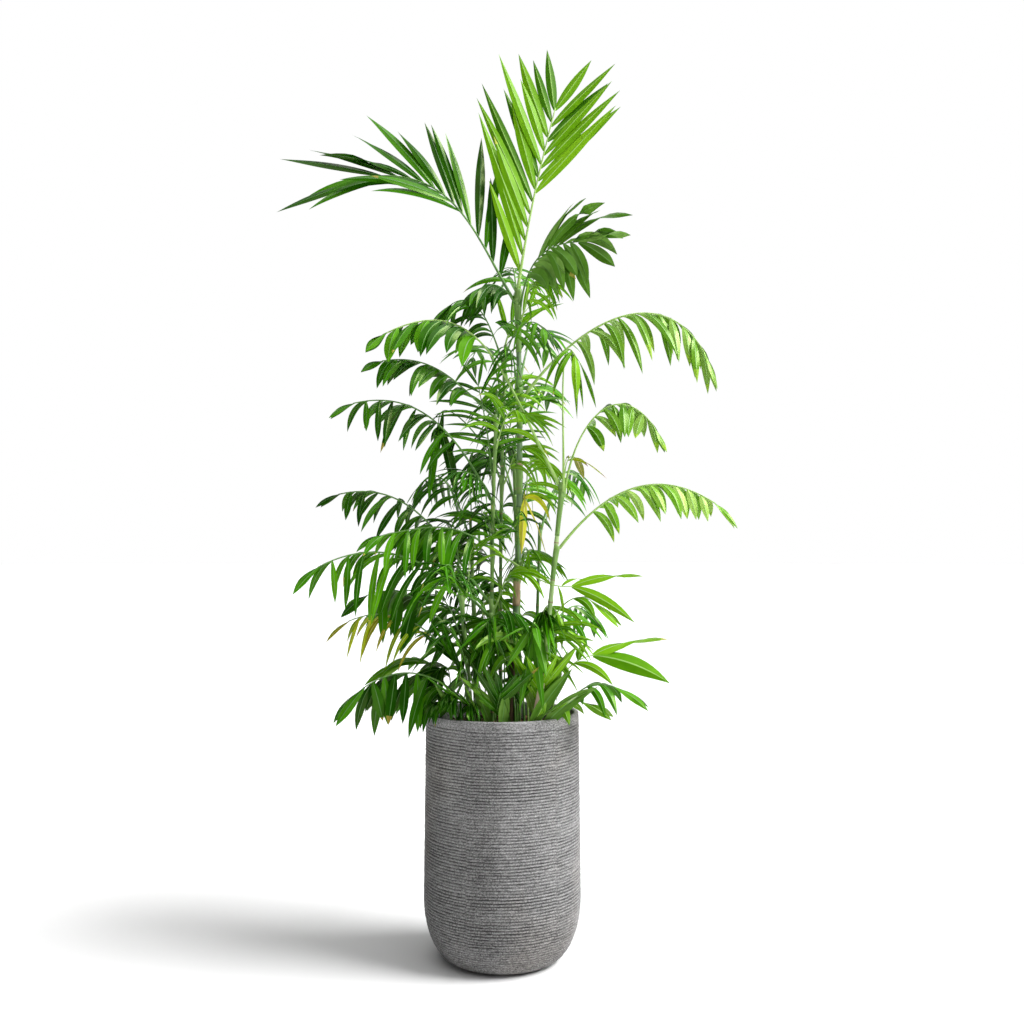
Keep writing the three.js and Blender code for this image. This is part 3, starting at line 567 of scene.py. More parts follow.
def overhang():
    """Small dark leaves that lean out over the planter's left rim."""
    draw = Draws(OVERHANG_SEED)
    rows = []
    for i in range(OVERHANG):
        heading = lerp(OVERHANG_FROM, OVERHANG_TO, (i + 0.5 + 0.4 * draw()) / OVERHANG)
        at = spot(92 + 14 * draw(), radians(heading))
        rib = (66 + 22 * draw(), 66 + 18 * draw(), 70, 48 + 14 * draw())
        # Dark and mid hues on the shaded left: partly painted shade
        more = dict(roll=30 * draw(), bare=0.5, splay=58, lift=-24, hue=("dark", "mid", "dark")[i % 3])
        leaf = (66 + 16 * draw(), 11 + 2 * draw())
        rows.append(grow(f"overhang_{i}", at, heading, *rib, leaf, "weeping", 3, **more))
    return rows


def inner_fronds():
    """Small fronds deep in the crown, on each full cane in turn, within the reach of the large ones."""
    draw = Draws(INNER_SEED)
    rows = {name: [] for name in FULL_CANES}
    for i in range(INNER_ROUNDS * len(FULL_CANES)):
        name = FULL_CANES[i % len(FULL_CANES)]
        level = (i // len(FULL_CANES) + 0.5 + 0.4 * draw()) / INNER_ROUNDS
        share = lerp(INNER_FROM, INNER_TO, level)
        heading = i * GOLDEN_ANGLE + 0.4 * draw()
        east = cos(heading)
        at = lerp(SOIL_TOP, CANES[name]["height"], share)
        out = (112 + 36 * draw()) * (1 - INNER_SHY * max(0, east))
        rib = (out, 88 + 40 * draw(), 64 + 10 * draw(), 20 + 22 * draw())
        more = dict(roll=20 * draw(), bare=0.22)
        leaf = (104 + 22 * draw(), 8.5 + 2.5 * draw())
        habit = ("arching", "hanging", "weeping")[i % 3]
        # Painted light and shade: bright for fronds heading east, toward the key lamp, dark for those
        # heading away
        more["hue"] = "bright" if east > 0.5 else ("dark" if east < -0.3 else "mid")
        rows[name].append(grow(f"inner_{i}", at, degrees(heading), *rib, leaf, habit, 6, **more))
    return rows


def planned():
    """Every frond with its rib and leaflets, the large ones first."""
    plans = []
    for table in (FRONDS, inner_fronds(), {"clump": undergrowth() + overhang()}, front()):
        for carrier, fronds in table.items():
            for frond in fronds:
                seed = SEED_STEP * (len(plans) + 1)
                plans.append((frond, carrier, Rib(frond, carrier), leaflets(frond, seed)))
    return plans


# Meshes

OFF_AXIS = (0.31, 0.93, 0.2)
JOIN_WITHIN = 5e-6


class Sheet:
    """Collects grids for one mesh: rows and columns of points, with kinds as the material of each face."""

    def __init__(self):
        self.points = []
        self.faces = []
        self.kinds = []
        self.maps = []
        self.count = 0

    def grid(self, points, kinds=0, closed=False):
        points = np.asarray(points, float)
        rows, columns = points.shape[:2]
        ids = self.count + np.arange(rows * columns).reshape(rows, columns)
        left = ids if closed else ids[:, :-1]
        right = np.roll(ids, -1, axis=1) if closed else ids[:, 1:]
        faces = np.stack([left[:-1], right[:-1], right[1:], left[1:]], axis=-1)
        self.points.append(points.reshape(-1, 3))
        self.faces.append(faces.reshape(-1, 4))
        self.kinds.append(np.broadcast_to(kinds, faces.shape[:2]).reshape(-1))
        u, v = np.meshgrid(np.linspace(0, 1, columns), np.linspace(0, 1, rows))
        self.maps.append(np.stack([u, v], axis=-1).reshape(-1, 2))
        self.count += rows * columns

    def tube(self, middles, radii, sides, kinds=0, squeeze=1.0):
        """A closed tube along a line of points, flat where squeeze is small."""
        middles = np.asarray(middles, float)
        ways = np.gradient(middles, axis=0)
        ways /= np.linalg.norm(ways, axis=1, keepdims=True)
        first = np.cross(ways[0], OFF_AXIS)
        turns = np.arange(sides) * (2 * pi / sides)
        rows = []
        for middle, way, radius in zip(middles, ways, radii):
            first = unit(first - (first @ way) * way)
            second = np.cross(way, first) * squeeze
            circle = np.outer(np.cos(turns), first) + np.outer(np.sin(turns), second)
            rows.append(middle + radius * circle)
        rows.insert(0, np.repeat(middles[:1], sides, axis=0))
        rows.append(np.repeat(middles[-1:], sides, axis=0))
        self.grid(rows, kinds, closed=True)


def placed(name, data):
    """An object around a mesh, a lamp or a camera."""
    piece = bpy.data.objects.new(name, data)
    bpy.context.scene.collection.objects.link(piece)
    return piece


def made(name, sheet, materials, stands_for=(), attribute=None):
    """A piece of the plant from a sheet, in metres, with coinciding points joined."""
    points = np.concatenate(sheet.points) * MM
    faces = np.concatenate(sheet.faces)
    mesh = bpy.data.meshes.new(name)
    mesh.vertices.add(len(points))
    mesh.vertices.foreach_set("co", points.ravel())
    mesh.loops.add(faces.size)
    mesh.loops.foreach_set("vertex_index", faces.ravel())
    mesh.polygons.add(len(faces))
    mesh.polygons.foreach_set("loop_start", np.arange(0, faces.size, 4))
    mesh.polygons.foreach_set("material_index", np.concatenate(sheet.kinds).astype(np.int32))
    mesh.polygons.foreach_set("use_smooth", np.ones(len(faces), bool))
    layer = mesh.uv_layers.new(name="Leaf")
    layer.data.foreach_set("uv", np.concatenate(sheet.maps)[faces.ravel()].ravel())
    if attribute is not None:
        mesh.attributes.new("groove", "FLOAT", "POINT").data.foreach_set("value", attribute.ravel())
    mesh.update(calc_edges=True)
    work = bmesh.new()
    work.from_mesh(mesh)
    bmesh.ops.remove_doubles(work, verts=work.verts, dist=JOIN_WITHIN)
    work.to_mesh(mesh)
    work.free()
    for material in materials:
        mesh.materials.append(material)
    piece = placed(name, mesh)
    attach(piece, "root")
    if stands_for:
        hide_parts(*stands_for)
    return piece


# Materials


def linear(red, green, blue):
    """A colour as seen, 0 to 255, turned into the renderer's linear values."""
    shares = np.array([red, green, blue]) / 255
    values = np.where(shares <= 0.04045, shares / 12.92, ((shares + 0.055) / 1.055) ** 2.4)
    return (*values.tolist(), 1.0)


class Finish:
    """A material with one Principled shader and a few helpers for what drives it."""

    def __init__(self, name, roughness, specular=0.5):
        self.material = bpy.data.materials.new(name)
        self.material.use_nodes = True
        self.nodes = self.material.node_tree.nodes
        self.shader = self.nodes["Principled BSDF"]
        self.give(self.shader, {"Roughness": roughness, "Specular IOR Level": specular})
        self.where = self.nodes.new("ShaderNodeTexCoord")

    def give(self, node, values):
        """Sets inputs of a node to values or to outputs of other nodes."""
        for key, value in values.items():
            if isinstance(value, bpy.types.NodeSocket):
                self.material.node_tree.links.new(value, node.inputs[key])
            else:
                node.inputs[key].default_value = value

    def node(self, kind, values):
        node = self.nodes.new(f"ShaderNode{kind}")
        self.give(node, values)
        return node

    def noise(self, scale, detail=4, stretch=(1, 1, 1), source="Object", distortion=0.0):
        """Noise from 0 to 1 over the piece, drawn out where stretch is small."""
        place = self.node("Mapping", {"Scale": stretch, "Vector": self.where.outputs[source]})
        values = {"Scale": scale, "Detail": detail, "Distortion": distortion}
        return self.node("TexNoise", {**values, "Vector": place.outputs["Vector"]}).outputs["Fac"]

    def ramp(self, value, *stops):
        """A colour for a value: stops are a place and a colour as seen."""
        node = self.node("ValToRGB", {"Fac": value})
        band = node.color_ramp
        while len(band.elements) < len(stops):
            band.elements.new(0.5)
        for element, (place, colour) in zip(band.elements, stops):
            element.position = place
            element.color = linear(*colour)
        return node.outputs["Color"]

    def mix(self, share, a, b, kind="MIX"):
        """Two colours, or a socket and a colour, mixed by a share."""
        node = self.node("Mix", {})
        node.data_type = "RGBA"
        node.blend_type = kind
        self.give(node, {0: share, 6: a, 7: b})
        return node.outputs[2]

    def colour(self, value):
        self.give(self.shader, {"Base Color": value})

    def bump(self, value, depth, strength=1.0):
        """depth is in metres."""
        node = self.node("Bump", {"Distance": depth, "Strength": strength, "Height": value})
        self.give(self.shader, {"Normal": node.outputs["Normal"]})


LEAF_ROUGHNESS = 0.22
LEAF_SPECULAR = 0.34
LEAF_SHEEN = (0.75, 1, 0.3, 1)
LEAF_PLEATS = 3.4
TIP_ROUGHNESS = 0.6


def leaf_finish(name, low, high, roughness=LEAF_ROUGHNESS, pleats=LEAF_PLEATS):
    """Two colours in streaks along the blade, between its parallel veins."""
    finish = Finish(name, roughness, LEAF_SPECULAR)
    finish.give(finish.shader, {"Specular Tint": LEAF_SHEEN})
    streaks = finish.noise(1.0, detail=1, stretch=(pleats, 0.6, 1), source="UV")
    patches = finish.noise(38, detail=2)
    share = finish.mix(0.35, streaks, patches)
    finish.colour(finish.ramp(share, (0.3, low), (0.7, high)))
    return finish.material


def stem_finish(name, low, high, roughness=0.5):
    """A stem's skin, streaked along its length."""
    finish = Finish(name, roughness)
    streaks = finish.noise(240, stretch=(1, 1, 0.06))
    patches = finish.noise(22, detail=3)
    share = finish.mix(0.45, streaks, patches)
    finish.colour(finish.ramp(share, (0.32, low), (0.68, high)))
    finish.bump(streaks, depth=0.0003, strength=0.5)
    return finish.material


def planter_finish():
    """Fibreclay: grey, gritty, painted shade and dirt in its grooves, paler specks, faint upright stains.
    """
    finish = Finish("fibreclay", roughness=0.85, specular=0.3)
    grain = finish.noise(330, detail=5, stretch=(1, 1, 1.5))
    base = finish.ramp(grain, (0.36, (66, 66, 66)), (0.64, (188, 188, 188)))
    stains = finish.noise(9, stretch=(1, 1, 0.16), distortion=0.4)
    base = finish.mix(0.4, base, finish.ramp(stains, (0.35, (90, 90, 90)), (0.65, (150, 150, 150))))
    warmth = finish.ramp(finish.noise(5, detail=3), (0.5, (254, 252, 251)), (0.75, (255, 241, 226)))
    base = finish.mix(0.5, base, warmth, "MULTIPLY")
    specks = finish.ramp(finish.noise(900, detail=2), (0.66, (0, 0, 0)), (0.74, (120, 120, 116)))
    base = finish.mix(0.6, base, specks, "SCREEN")
    # The grooves darkened by the groove attribute: painted shade and dirt
    groove = finish.node("Attribute", {})
    groove.attribute_name = "groove"
    finish.colour(finish.mix(groove.outputs["Fac"], base, linear(46, 46, 46)))
    finish.bump(grain, depth=0.0012, strength=0.6)
    return finish.material


def soil_finish():
    finish = Finish("potting_soil", roughness=0.95, specular=0.2)
    crumbs = finish.noise(260, detail=8)
    finish.colour(finish.ramp(crumbs, (0.35, (30, 22, 16)), (0.6, (62, 46, 34)), (0.75, (96, 78, 60))))
    finish.bump(crumbs, depth=0.004)
    return finish.material


def bark_finish():
    finish = Finish("bark_chips", roughness=0.9, specular=0.2)
    finish.colour(finish.ramp(finish.noise(120, detail=5), (0.3, (52, 34, 24)), (0.7, (122, 92, 66))))
    finish.bump(finish.noise(300, detail=6), depth=0.001)
    return finish.material


# Planter and soil


def smooth_noise(rows, columns, row_step, column_step, seed):
    """Noise from -1 to 1 over a wall that closes on itself, with a cell of so many points."""
    across = max(3, round(columns / column_step))
    down = max(3, round(rows / row_step) + 3)
    cells = np.random.default_rng(seed).uniform(-1, 1, (down, across))
    v = np.arange(rows) / row_step
    u = np.arange(columns) * across / columns
    low_v, low_u = np.floor(v).astype(int), np.floor(u).astype(int)
    share_v, share_u = v - low_v, u - low_u
    share_v = (share_v**2 * (3 - 2 * share_v))[:, None]
    share_u = (share_u**2 * (3 - 2 * share_u))[None, :]
    next_v, next_u = (low_v + 1) % down, (low_u + 1) % across
    low_v, low_u = low_v % down, low_u % across
    low = cells[low_v][:, low_u] * (1 - share_u) + cells[low_v][:, next_u] * share_u
    high = cells[next_v][:, low_u] * (1 - share_u) + cells[next_v][:, next_u] * share_u
    return low * (1 - share_v) + high * share_v


def layered(shape, layers):
    """Fields of noise laid over each other."""
    return sum(height * smooth_noise(*shape, *cell) for height, *cell in layers)


def wall_profile():
    """The planter's outside in section, from the edge of its flat foot to the start of its rim."""
    points = []
    for angle in np.linspace(0, pi / 2, 200):
        distance = lerp(FOOT_RADIUS, POT_RADIUS, sin(angle))
        points.append((distance, lerp(TURN_HEIGHT, 0, cos(angle))))
    top = POT_HEIGHT - RIM_ROUND
    share = (top - TURN_HEIGHT) / (POT_HEIGHT - TURN_HEIGHT)
    points.append((lerp(POT_RADIUS, RIM_RADIUS, share), top))
    return np.array(points)


def rim_profile():
    """The rounded rim in section, from outside to inside, and the inside of the wall."""
    outer, inner = RIM_RADIUS - RIM_ROUND, RIM_RADIUS - WALL + RIM_ROUND
    angles = np.linspace(0, pi / 2, RIM_STEPS)
    arcs = [(outer, angle) for angle in angles[1:]] + [(inner, angle + pi / 2) for angle in angles]
    points = []
    for centre, angle in arcs:
        level = POT_HEIGHT - RIM_ROUND * (1 - sin(angle))
        points.append((centre + RIM_ROUND * cos(angle), level))
    for share in np.linspace(0, 1, INSIDE_STEPS)[1:]:
        points.append((RIM_RADIUS - WALL, POT_HEIGHT - RIM_ROUND - share * INSIDE_DEPTH))
    return points


def ring_of(distances, turns, levels):
    return np.stack([distances * np.cos(turns), distances * np.sin(turns), levels], axis=-1)


def planter():
    """The planter: ridges, seams and grit pushed into its wall; painted shade and dirt in its grooves."""
    section = wall_profile()
    steps = np.concatenate([[0], np.cumsum(np.hypot(*np.diff(section, axis=0).T))])
    length = steps[-1]
    walk = np.linspace(0, length, round(length / RIDGE_PITCH * ROWS_PER_RIDGE) + 1)
    radii = np.interp(walk, steps, section[:, 0])
    heights = np.interp(walk, steps, section[:, 1])
    slopes = np.arctan2(np.gradient(heights), np.gradient(radii))
    turns = np.arange(POT_COLUMNS) * (2 * pi / POT_COLUMNS)
    turn, way = np.meshgrid(turns, walk)
    shape = turn.shape
    wobble = layered(shape, WOBBLE)
    seams = np.zeros(shape)
    for seam in np.radians(SEAMS):
        off = (turn - seam + pi) % (2 * pi) - pi
        wobble = wobble + SEAM_SHIFT * (off > 0) * np.exp(-off)
        seams += np.exp(-((off / SEAM_SPREAD) ** 2))
    groove = (0.5 + 0.5 * np.cos(2 * pi * (way / RIDGE_PITCH + wobble))) ** GROOVE_SHARPNESS
    strength = np.clip(RIDGE_STRENGTH + layered(shape, RIDGE_PATCHES), *RIDGE_LIMITS)
    strength = strength * np.clip((way - RIDGES_START) / RIDGES_GROW, RIDGE_END, 1)
    strength = strength * np.clip((length - RIDGES_STOP - way) / RIDGES_FADE, RIDGE_END, 1)
    grit = layered(shape, GRAINS)
    depth = RIDGE_DEPTH * (strength * (groove - GROOVE_LEVEL) - GRIT * grit) - SEAM_HEIGHT * seams
    radius = radii[:, None] - depth * np.sin(slopes)[:, None]
    height = heights[:, None] + depth * np.cos(slopes)[:, None]
    height = np.maximum(height, 0)
    height[0] = 0
    wall = ring_of(radius, turn, height)
    closed = np.zeros((1, POT_COLUMNS, 3))
    halfway = wall[:1] * [0.5, 0.5, 0]
    distance, level = np.array(rim_profile()).T[:, :, None]
    distance = distance + layered((1, POT_COLUMNS), RIM_RIPPLE)
    rim = ring_of(distance, turns, level + 0 * distance)
    sheet = Sheet()
    sheet.grid(np.concatenate([closed, halfway, wall, rim]), closed=True)
    # Darker in the grooves, less on raised grit: painted shade and dirt, kept in the groove attribute
    groove_shade_and_dirt = np.clip(GROOVE_SHADE_AND_DIRT * groove * strength - GRIT_SHADE_AND_DIRT * grit, 0, 1)
    groove_shade_and_dirt = np.pad(groove_shade_and_dirt, ((2, len(rim)), (0, 0)))
    made("planter_wall", sheet, [planter_finish()], ["planter"], groove_shade_and_dirt)


def soil():
    """The soil's uneven top, lower at its edge, and its bark chips."""
    sheet = Sheet()
    turns = np.arange(SOIL_COLUMNS) * (2 * pi / SOIL_COLUMNS)
    rows = []
    bumps = layered((SOIL_ROWS, SOIL_COLUMNS), SOIL_BUMPS)
    for row, distance in zip(bumps, np.linspace(0, SOIL_RADIUS, SOIL_ROWS)):
        level = SOIL_TOP + row * min(1, distance / 20) - SOIL_SINK * (distance / SOIL_RADIUS) ** 4
        rows.append(ring_of(distance, turns, level))
    sheet.grid(rows, closed=True)
    made("soil_top", sheet, [soil_finish()], ["soil"])
    draw = Draws(CHIP_SEED)
    chips = Sheet()
    for _ in range(CHIPS):
        distance = (SOIL_RADIUS - CHIP_MARGIN) * sqrt(abs(draw()))
        angle = pi * draw()
        place = np.array([*spot(distance, angle), SOIL_TOP + 1 + draw()])
        way = unit(np.array([draw(), draw(), 0.3 * draw()]))
        size = CHIP_SIZE + CHIP_JITTER * draw()
        line = [place + way * size * along for along, _ in CHIP_SHAPE]
        radii = [size * radius for _, radius in CHIP_SHAPE]
        chips.tube(line, radii, CHIP_SIDES, squeeze=CHIP_SQUEEZE)
    made("bark_chips", chips, [bark_finish()])


# Canes, sheaths and ribs


def joints_of(cane, seed):
    """Heights of a cane's rings, closer together near its foot."""
    draw = Draws(seed)
    heights = []
    height = SOIL_TOP + JOINT_LOWEST
    while height < cane["height"] - JOINT_HIGHEST:
        heights.append(height)
        spacing = JOINT_SPACING * (1 - JOINT_JITTER + JOINT_JITTER * draw())
        height += spacing * (JOINT_CROWDING + (height - SOIL_TOP) / JOINT_STRETCH)
    return heights


def canes(finishes):
    for index, (name, cane) in enumerate(CANES.items()):
        joints = joints_of(cane, JOINT_SEED + index)
        levels = set(np.arange(CANE_FOOT, cane["height"], CANE_STEP).tolist())
        levels.update(joint + level for joint in joints for level in RING_LEVELS)
        levels.add(cane["height"])
        levels = sorted(level for level in levels if CANE_FOOT <= level <= cane["height"])
        middles, radii, kinds = [], [], []
        for level in levels:
            middle, radius = cane_by_level(cane, level)
            near = min(abs(level - joint) for joint in joints)
            middles.append(middle)
            radii.append(radius * (1 + RING_SWELL * exp(-((near / RING_SPREAD) ** 2))))
        for low, high in zip(levels, levels[1:]):
            centre = (low + high) / 2
            kinds.append(SCAR if any(abs(centre - joint) < RING_HALF for joint in joints) else GREEN)
        sheet = Sheet()
        sheet.tube(middles, radii, CANE_SIDES, np.array([GREEN, *kinds, GREEN])[:, None])
        looks = [finishes.get(f"cane_{name}", finishes["cane"]), finishes["scar"]]
        made(f"stem_{name}", sheet, looks, [f"cane_{name}"])


def sheaths(plans, finishes):
    """The tubular foot of each frond's stalk, wrapped round the cane that carries it."""
    green = Sheet()
    for index, (frond, carrier, rib, _) in enumerate(plans):
        cane = CANES.get(carrier)
        if cane is None:
            continue
        draw = Draws(SHEATH_SEED + index)
        top = min(frond["at"], cane["height"])
        low = max(SOIL_TOP + 2, top - SHEATH_LENGTH - SHEATH_JITTER * draw())
        middles, radii = [], []
        for share in np.linspace(0, 1, SHEATH_RINGS):
            middle, radius = cane_by_level(cane, lerp(low, top + 4, share))
            middles.append(middle + rib.heading * (SHEATH_LEAN * rib.radius * share**3))
            radii.append(radius * lerp(*SHEATH_FIT, share) + rib.radius * SHEATH_OPENING * share**2)
        green.tube(middles, radii, SHEATH_SIDES)
    made("leaf_sheaths", green, [finishes["sheath"]])


def old_sheaths(finishes):
    """Papery and fibrous dead sheaths round the tall cane, and the cream stub of a cut stem."""
    sheet = Sheet()
    cane = CANES["tall"]
    for kind, low, high, slack in OLD_SHEATHS:
        for layer in range(OLD_SHEATH_LAYERS):
            draw = Draws(OLD_SHEATH_SEED + low + layer)
            middles, radii = [], []
            for share in np.linspace(0, 1, OLD_SHEATH_RINGS):
                level = lerp(low, high - OLD_SHEATH_STEP * layer, share)
                middle, radius = cane_by_level(cane, level)
                sway = slack * (0.4 + share) * np.array([draw(), draw(), 0])
                middles.append(middle + 0.5 * sway)
                fit = OLD_SHEATH_FIT + slack * OLD_SHEATH_SLACK * (1 - layer)
                radii.append(radius * (fit + OLD_SHEATH_JITTER * draw()))
            sheet.tube(middles, radii, OLD_SHEATH_SIDES, kind)
    low, high = (np.array(place, float) for place in STUB)
    shares = np.linspace(0, 1, SHEATH_RINGS)
    line = [lerp(low, high, share) + [STUB_BEND * sin(3 * share), 0, 0] for share in shares]
    sizes = [STUB_RADIUS * (1 - share**3) * (0.75 + 0.5 * share) + 0.4 for share in shares]
    sheet.tube(line, sizes, STUB_SIDES, CREAM, STUB_SQUEEZE)
    made("old_sheaths", sheet, [finishes[kind] for kind in ("papery", "fibrous", "cream")])


def ribs(plans, finishes):
    """Ribs of all fronds, thicker at their foot, pale on the right cane and under bright and light leaves.
    """
    pale, green = Sheet(), Sheet()
    shares = np.linspace(0, 1, RIB_STEPS)
    for frond, carrier, rib, _ in plans:
        # Pale ribs on the lit right and under bright and light leaves: partly painted light, as those hues
        # are
        sheet = pale if carrier == "right" or frond["hue"] in ("bright", "light") else green
        radii = [rib.radius_at(t) * (RIB_FOOT - RIB_EASE * min(1, 4 * t)) for t in shares]
        sheet.tube([rib.at(t) for t in shares], radii, RIB_SIDES)
    made("ribs_green", green, [finishes["rib"]])
    made("ribs_pale", pale, [finishes["rib_pale"]])


# Foliage

NODES = [f"frond_{frond['name']}" for fronds in FRONDS.values() for frond in fronds]
TINT_STEPS = (-0.33, 0.4)
# A hue's own three tints come first, then vein and tip, then three tints for each named group
VEIN, TIP, OWN_START = 3, 4, 5
VEIN_FACES = slice(2, 4)
# Hues are partly the leaves' own colour, partly painted light and shade: dark on the left, bright and light
# on the lit right
# Hues: slot, vein, the two colours of a dry tip, the share of leaflets that have one, and its first ring
HUES = {
    "dark": ("leaf_dark", (66, 110, 44), ((120, 112, 40), (150, 138, 62)), 0.05, 9),
    "mid": ("leaf_mid", (98, 148, 62), ((148, 150, 50), (178, 172, 84)), 0.06, 9),
    "bright": ("leaf_bright", (150, 196, 92), ((176, 184, 60), (204, 204, 104)), 0.06, 9),
    "light": ("leaf_light", (160, 204, 120), ((122, 170, 26), (166, 200, 80)), 0.32, 8),
    "yellow": ("leaf_dry", (196, 176, 96), ((130, 96, 52), (168, 130, 84)), 0.5, 9),
}
# The base groups' tints are raised in part as painted light, against the shade the crown casts on the foot.
# Groups of fronds: hue, how their names start and three tints, each of two colours that the streaks run
# between. The group without a name is for the fronds of its hue that are in no other.
GROUPS = (
    ("dark", "", (14, 56, 0), (30, 84, 2), (26, 76, 0), (48, 106, 6), (42, 98, 0), (68, 132, 12)),
    ("mid", "", (24, 76, 0), (46, 110, 4), (42, 102, 0), (72, 140, 12), (66, 130, 4), (102, 170, 28)),
    ("mid", "top_right",
     (52, 100, 10), (86, 134, 32), (68, 120, 22), (104, 154, 52), (96, 142, 50), (134, 176, 86)),
    ("mid", "base",
     (38, 94, 2), (72, 130, 12), (58, 116, 6), (98, 154, 28), (84, 132, 28), (128, 168, 68)),
    ("mid", "strap",
     (60, 104, 24), (112, 154, 66), (66, 112, 28), (122, 164, 74), (52, 98, 18), (104, 148, 54)),
    ("mid", "gloss",
     (50, 112, 10), (92, 152, 34), (62, 124, 14), (106, 164, 44), (44, 102, 8), (82, 144, 28)),
    ("bright", "",
     (92, 150, 4), (126, 182, 24), (108, 166, 10), (142, 196, 40), (74, 134, 4), (108, 168, 24)),
    ("bright", "top_upright",
     (40, 96, 0), (76, 134, 4), (84, 142, 0), (116, 170, 12), (100, 158, 4), (134, 186, 24)),
    ("bright", "base",
     (66, 116, 8), (106, 154, 34), (86, 136, 18), (128, 174, 56), (104, 150, 42), (148, 186, 92)),
    ("light", "",
     (80, 134, 14), (114, 162, 48), (106, 152, 44), (146, 184, 90), (62, 118, 6), (94, 146, 28)),
    ("light", "low_right",
     (110, 166, 30), (148, 194, 82), (138, 184, 66), (182, 214, 122), (96, 154, 24), (132, 186, 62)),
    ("yellow", "",
     (138, 158, 8), (172, 186, 30), (108, 112, 16), (148, 148, 34), (96, 132, 4), (138, 168, 24)),
    ("yellow", "turning",
     (198, 208, 28), (226, 228, 74), (204, 204, 36), (228, 222, 92), (150, 184, 10), (200, 214, 40)),
)
# Named groups with a sheen of their own: roughness and pleats
SHEENS = {"top_upright": (0.45, LEAF_PLEATS), "top_right": (0.4, LEAF_PLEATS), "strap": (0.4, 6)}
# Stems: what they are for, name, two colours of their streaks, roughness if it isn't the usual
STEMS = {
    "cane": ("cane_green", (58, 96, 36), (98, 140, 64)),
    "cane_tall": ("cane_bloom", (82, 114, 70), (126, 154, 112)),
    "cane_right": ("cane_young", (132, 170, 92), (184, 206, 148)),
    "papery": ("papery_sheath", (150, 118, 86), (206, 178, 148), 0.8),
    "fibrous": ("fibrous_sheath", (44, 32, 18), (104, 80, 52), 0.9),
    "cream": ("cream_stub", (186, 154, 122), (232, 214, 190), 0.8),
    "scar": ("cane_scar", (112, 96, 66), (160, 142, 104)),
    "sheath": ("sheath_green", (92, 134, 54), (132, 168, 88)),
    "rib": ("rib_green", (66, 112, 40), (104, 152, 62)),
    "rib_pale": ("rib_yellow_green", (134, 178, 74), (172, 206, 118)),
}


def leaf_finishes(hue):
    """A hue's three tints, vein and tip, and then three tints for each of its named groups."""
    _, vein, tip, _, _ = HUES[hue]
    found = []
    for group_hue, start, *colours in GROUPS:
        if group_hue != hue:
            continue
        for i, pair in enumerate(zip(colours[::2], colours[1::2])):
            found.append(leaf_finish(f"{start or hue}_{i}", *pair, *SHEENS.get(start, ())))
        if not start:
            found.append(stem_finish(f"{hue}_vein", vein, vein))
            found.append(leaf_finish(f"{hue}_tip", *tip, TIP_ROUGHNESS))
    return found


def finishes():
    """The plant's materials: a list for each hue, and one for each kind of stem."""
    found = {hue: leaf_finishes(hue) for hue in HUES}
    for part, look in STEMS.items():
        found[part] = stem_finish(*look)
    return found


def foliage(plans, finishes):
    """The leaflets of all fronds of one hue are one piece, in three tints dealt out leaflet by leaflet."""
    for hue, (slot, _, _, tip_share, tip_start) in HUES.items():
        sheet = Sheet()
        nodes = []
        own = [start for group_hue, start, *_ in GROUPS if group_hue == hue and start]
        for frond, _, rib, leaves in plans:
            if frond["hue"] != hue:
                continue
            node = f"frond_{frond['name']}"
            if node in NODES:
                nodes.append(node)
            group = next((i for i, start in enumerate(own) if frond["name"].startswith(start)), None)
            first = 0 if group is None else OWN_START + 3 * group
            for leaf in leaves:
                tint = first + sum(leaf["tint"] >= step for step in TINT_STEPS)
                kinds = np.full((LEAF_RINGS, len(LEAF_COLUMNS) - 1), tint)
                kinds[:, VEIN_FACES] = VEIN
                if leaf["tip"] > 1 - 2 * tip_share:
                    kinds[tip_start + (leaf["tint"] > 0) :] = TIP
                sheet.grid(blade(rib, leaf), kinds)
        made(f"leaflets_{hue}", sheet, finishes[hue], nodes)


# Studio


def staged(name, mesh, finish):
    """A piece of the studio, no part of the plant."""
    mesh.materials.append(finish.material)
    piece = placed(name, mesh)
    return piece


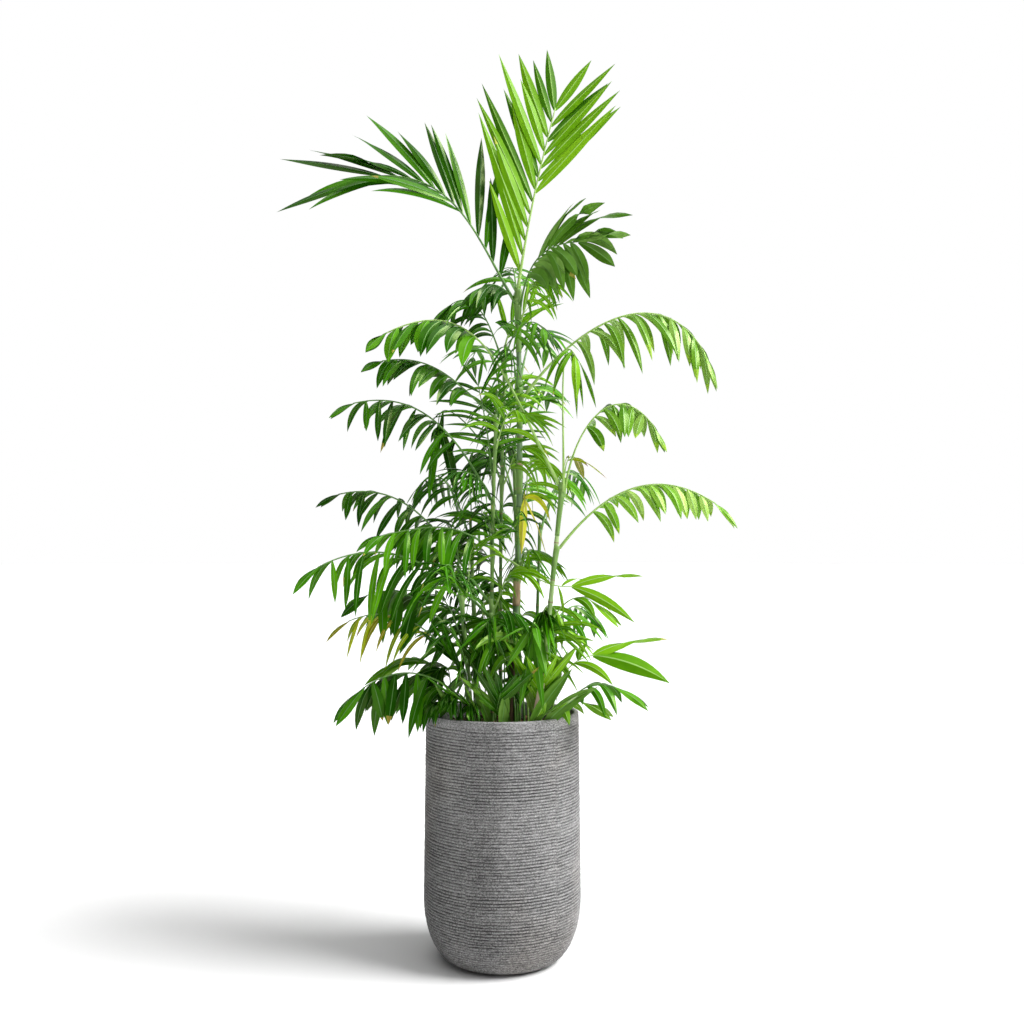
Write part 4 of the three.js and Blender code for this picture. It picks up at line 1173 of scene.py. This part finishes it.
def ground():
    mesh = bpy.data.meshes.new("floor")
    signs = ((-1, -1), (1, -1), (1, 1), (-1, 1))
    corners = [(x * FLOOR_SIZE, y * FLOOR_SIZE, FLOOR_LEVEL) for x, y in signs]
    mesh.from_pydata(corners, [], [(0, 1, 2, 3)])
    finish = Finish("pale_floor", roughness=0.9, specular=0.1)
    finish.colour(FLOOR_COLOUR)
    staged("floor", mesh, finish)


def backdrop():
    """A white dome far round the plant. Only the camera sees it: it gives no light of its own."""
    mesh = bpy.data.meshes.new("backdrop")
    work = bmesh.new()
    bmesh.ops.create_uvsphere(work, u_segments=32, v_segments=16, radius=DOME_RADIUS)
    work.to_mesh(mesh)
    work.free()
    finish = Finish("white_backdrop", roughness=1.0, specular=0.0)
    finish.colour(BLACK)
    finish.give(finish.shader, {"Emission Color": WHITE, "Emission Strength": 1.0})
    piece = staged("backdrop", mesh, finish)
    piece.visible_diffuse = False
    piece.visible_glossy = False
    piece.visible_transmission = False
    piece.visible_shadow = False


def studio():
    scene = bpy.context.scene
    scene.view_settings.view_transform = "Standard"
    world = bpy.data.worlds.new("studio")
    world.use_nodes = True
    sky = world.node_tree.nodes["Background"]
    sky.inputs["Color"].default_value = WHITE
    sky.inputs["Strength"].default_value = AMBIENT
    scene.world = world
    ground()
    backdrop()
    for name, energy, softness, height, side in LAMPS:
        lamp = bpy.data.lights.new(name, "SUN")
        lamp.energy = energy
        lamp.angle = radians(softness)
        turn = (radians(90 - height), 0, radians(side + 90))
        placed(name, lamp).rotation_euler = turn
    lens = bpy.data.cameras.new("camera")
    lens.lens = CAMERA_LENS
    lens.sensor_width = CAMERA_SENSOR
    camera = placed("camera", lens)
    camera.location = CAMERA_PLACE
    camera.rotation_euler = (radians(90 + CAMERA_RISE), 0, 0)
    scene.camera = camera


def main():
    studio()
    looks = finishes()
    plans = planned()
    planter()
    soil()
    canes(looks)
    sheaths(plans, looks)
    old_sheaths(looks)
    ribs(plans, looks)
    foliage(plans, looks)


main()
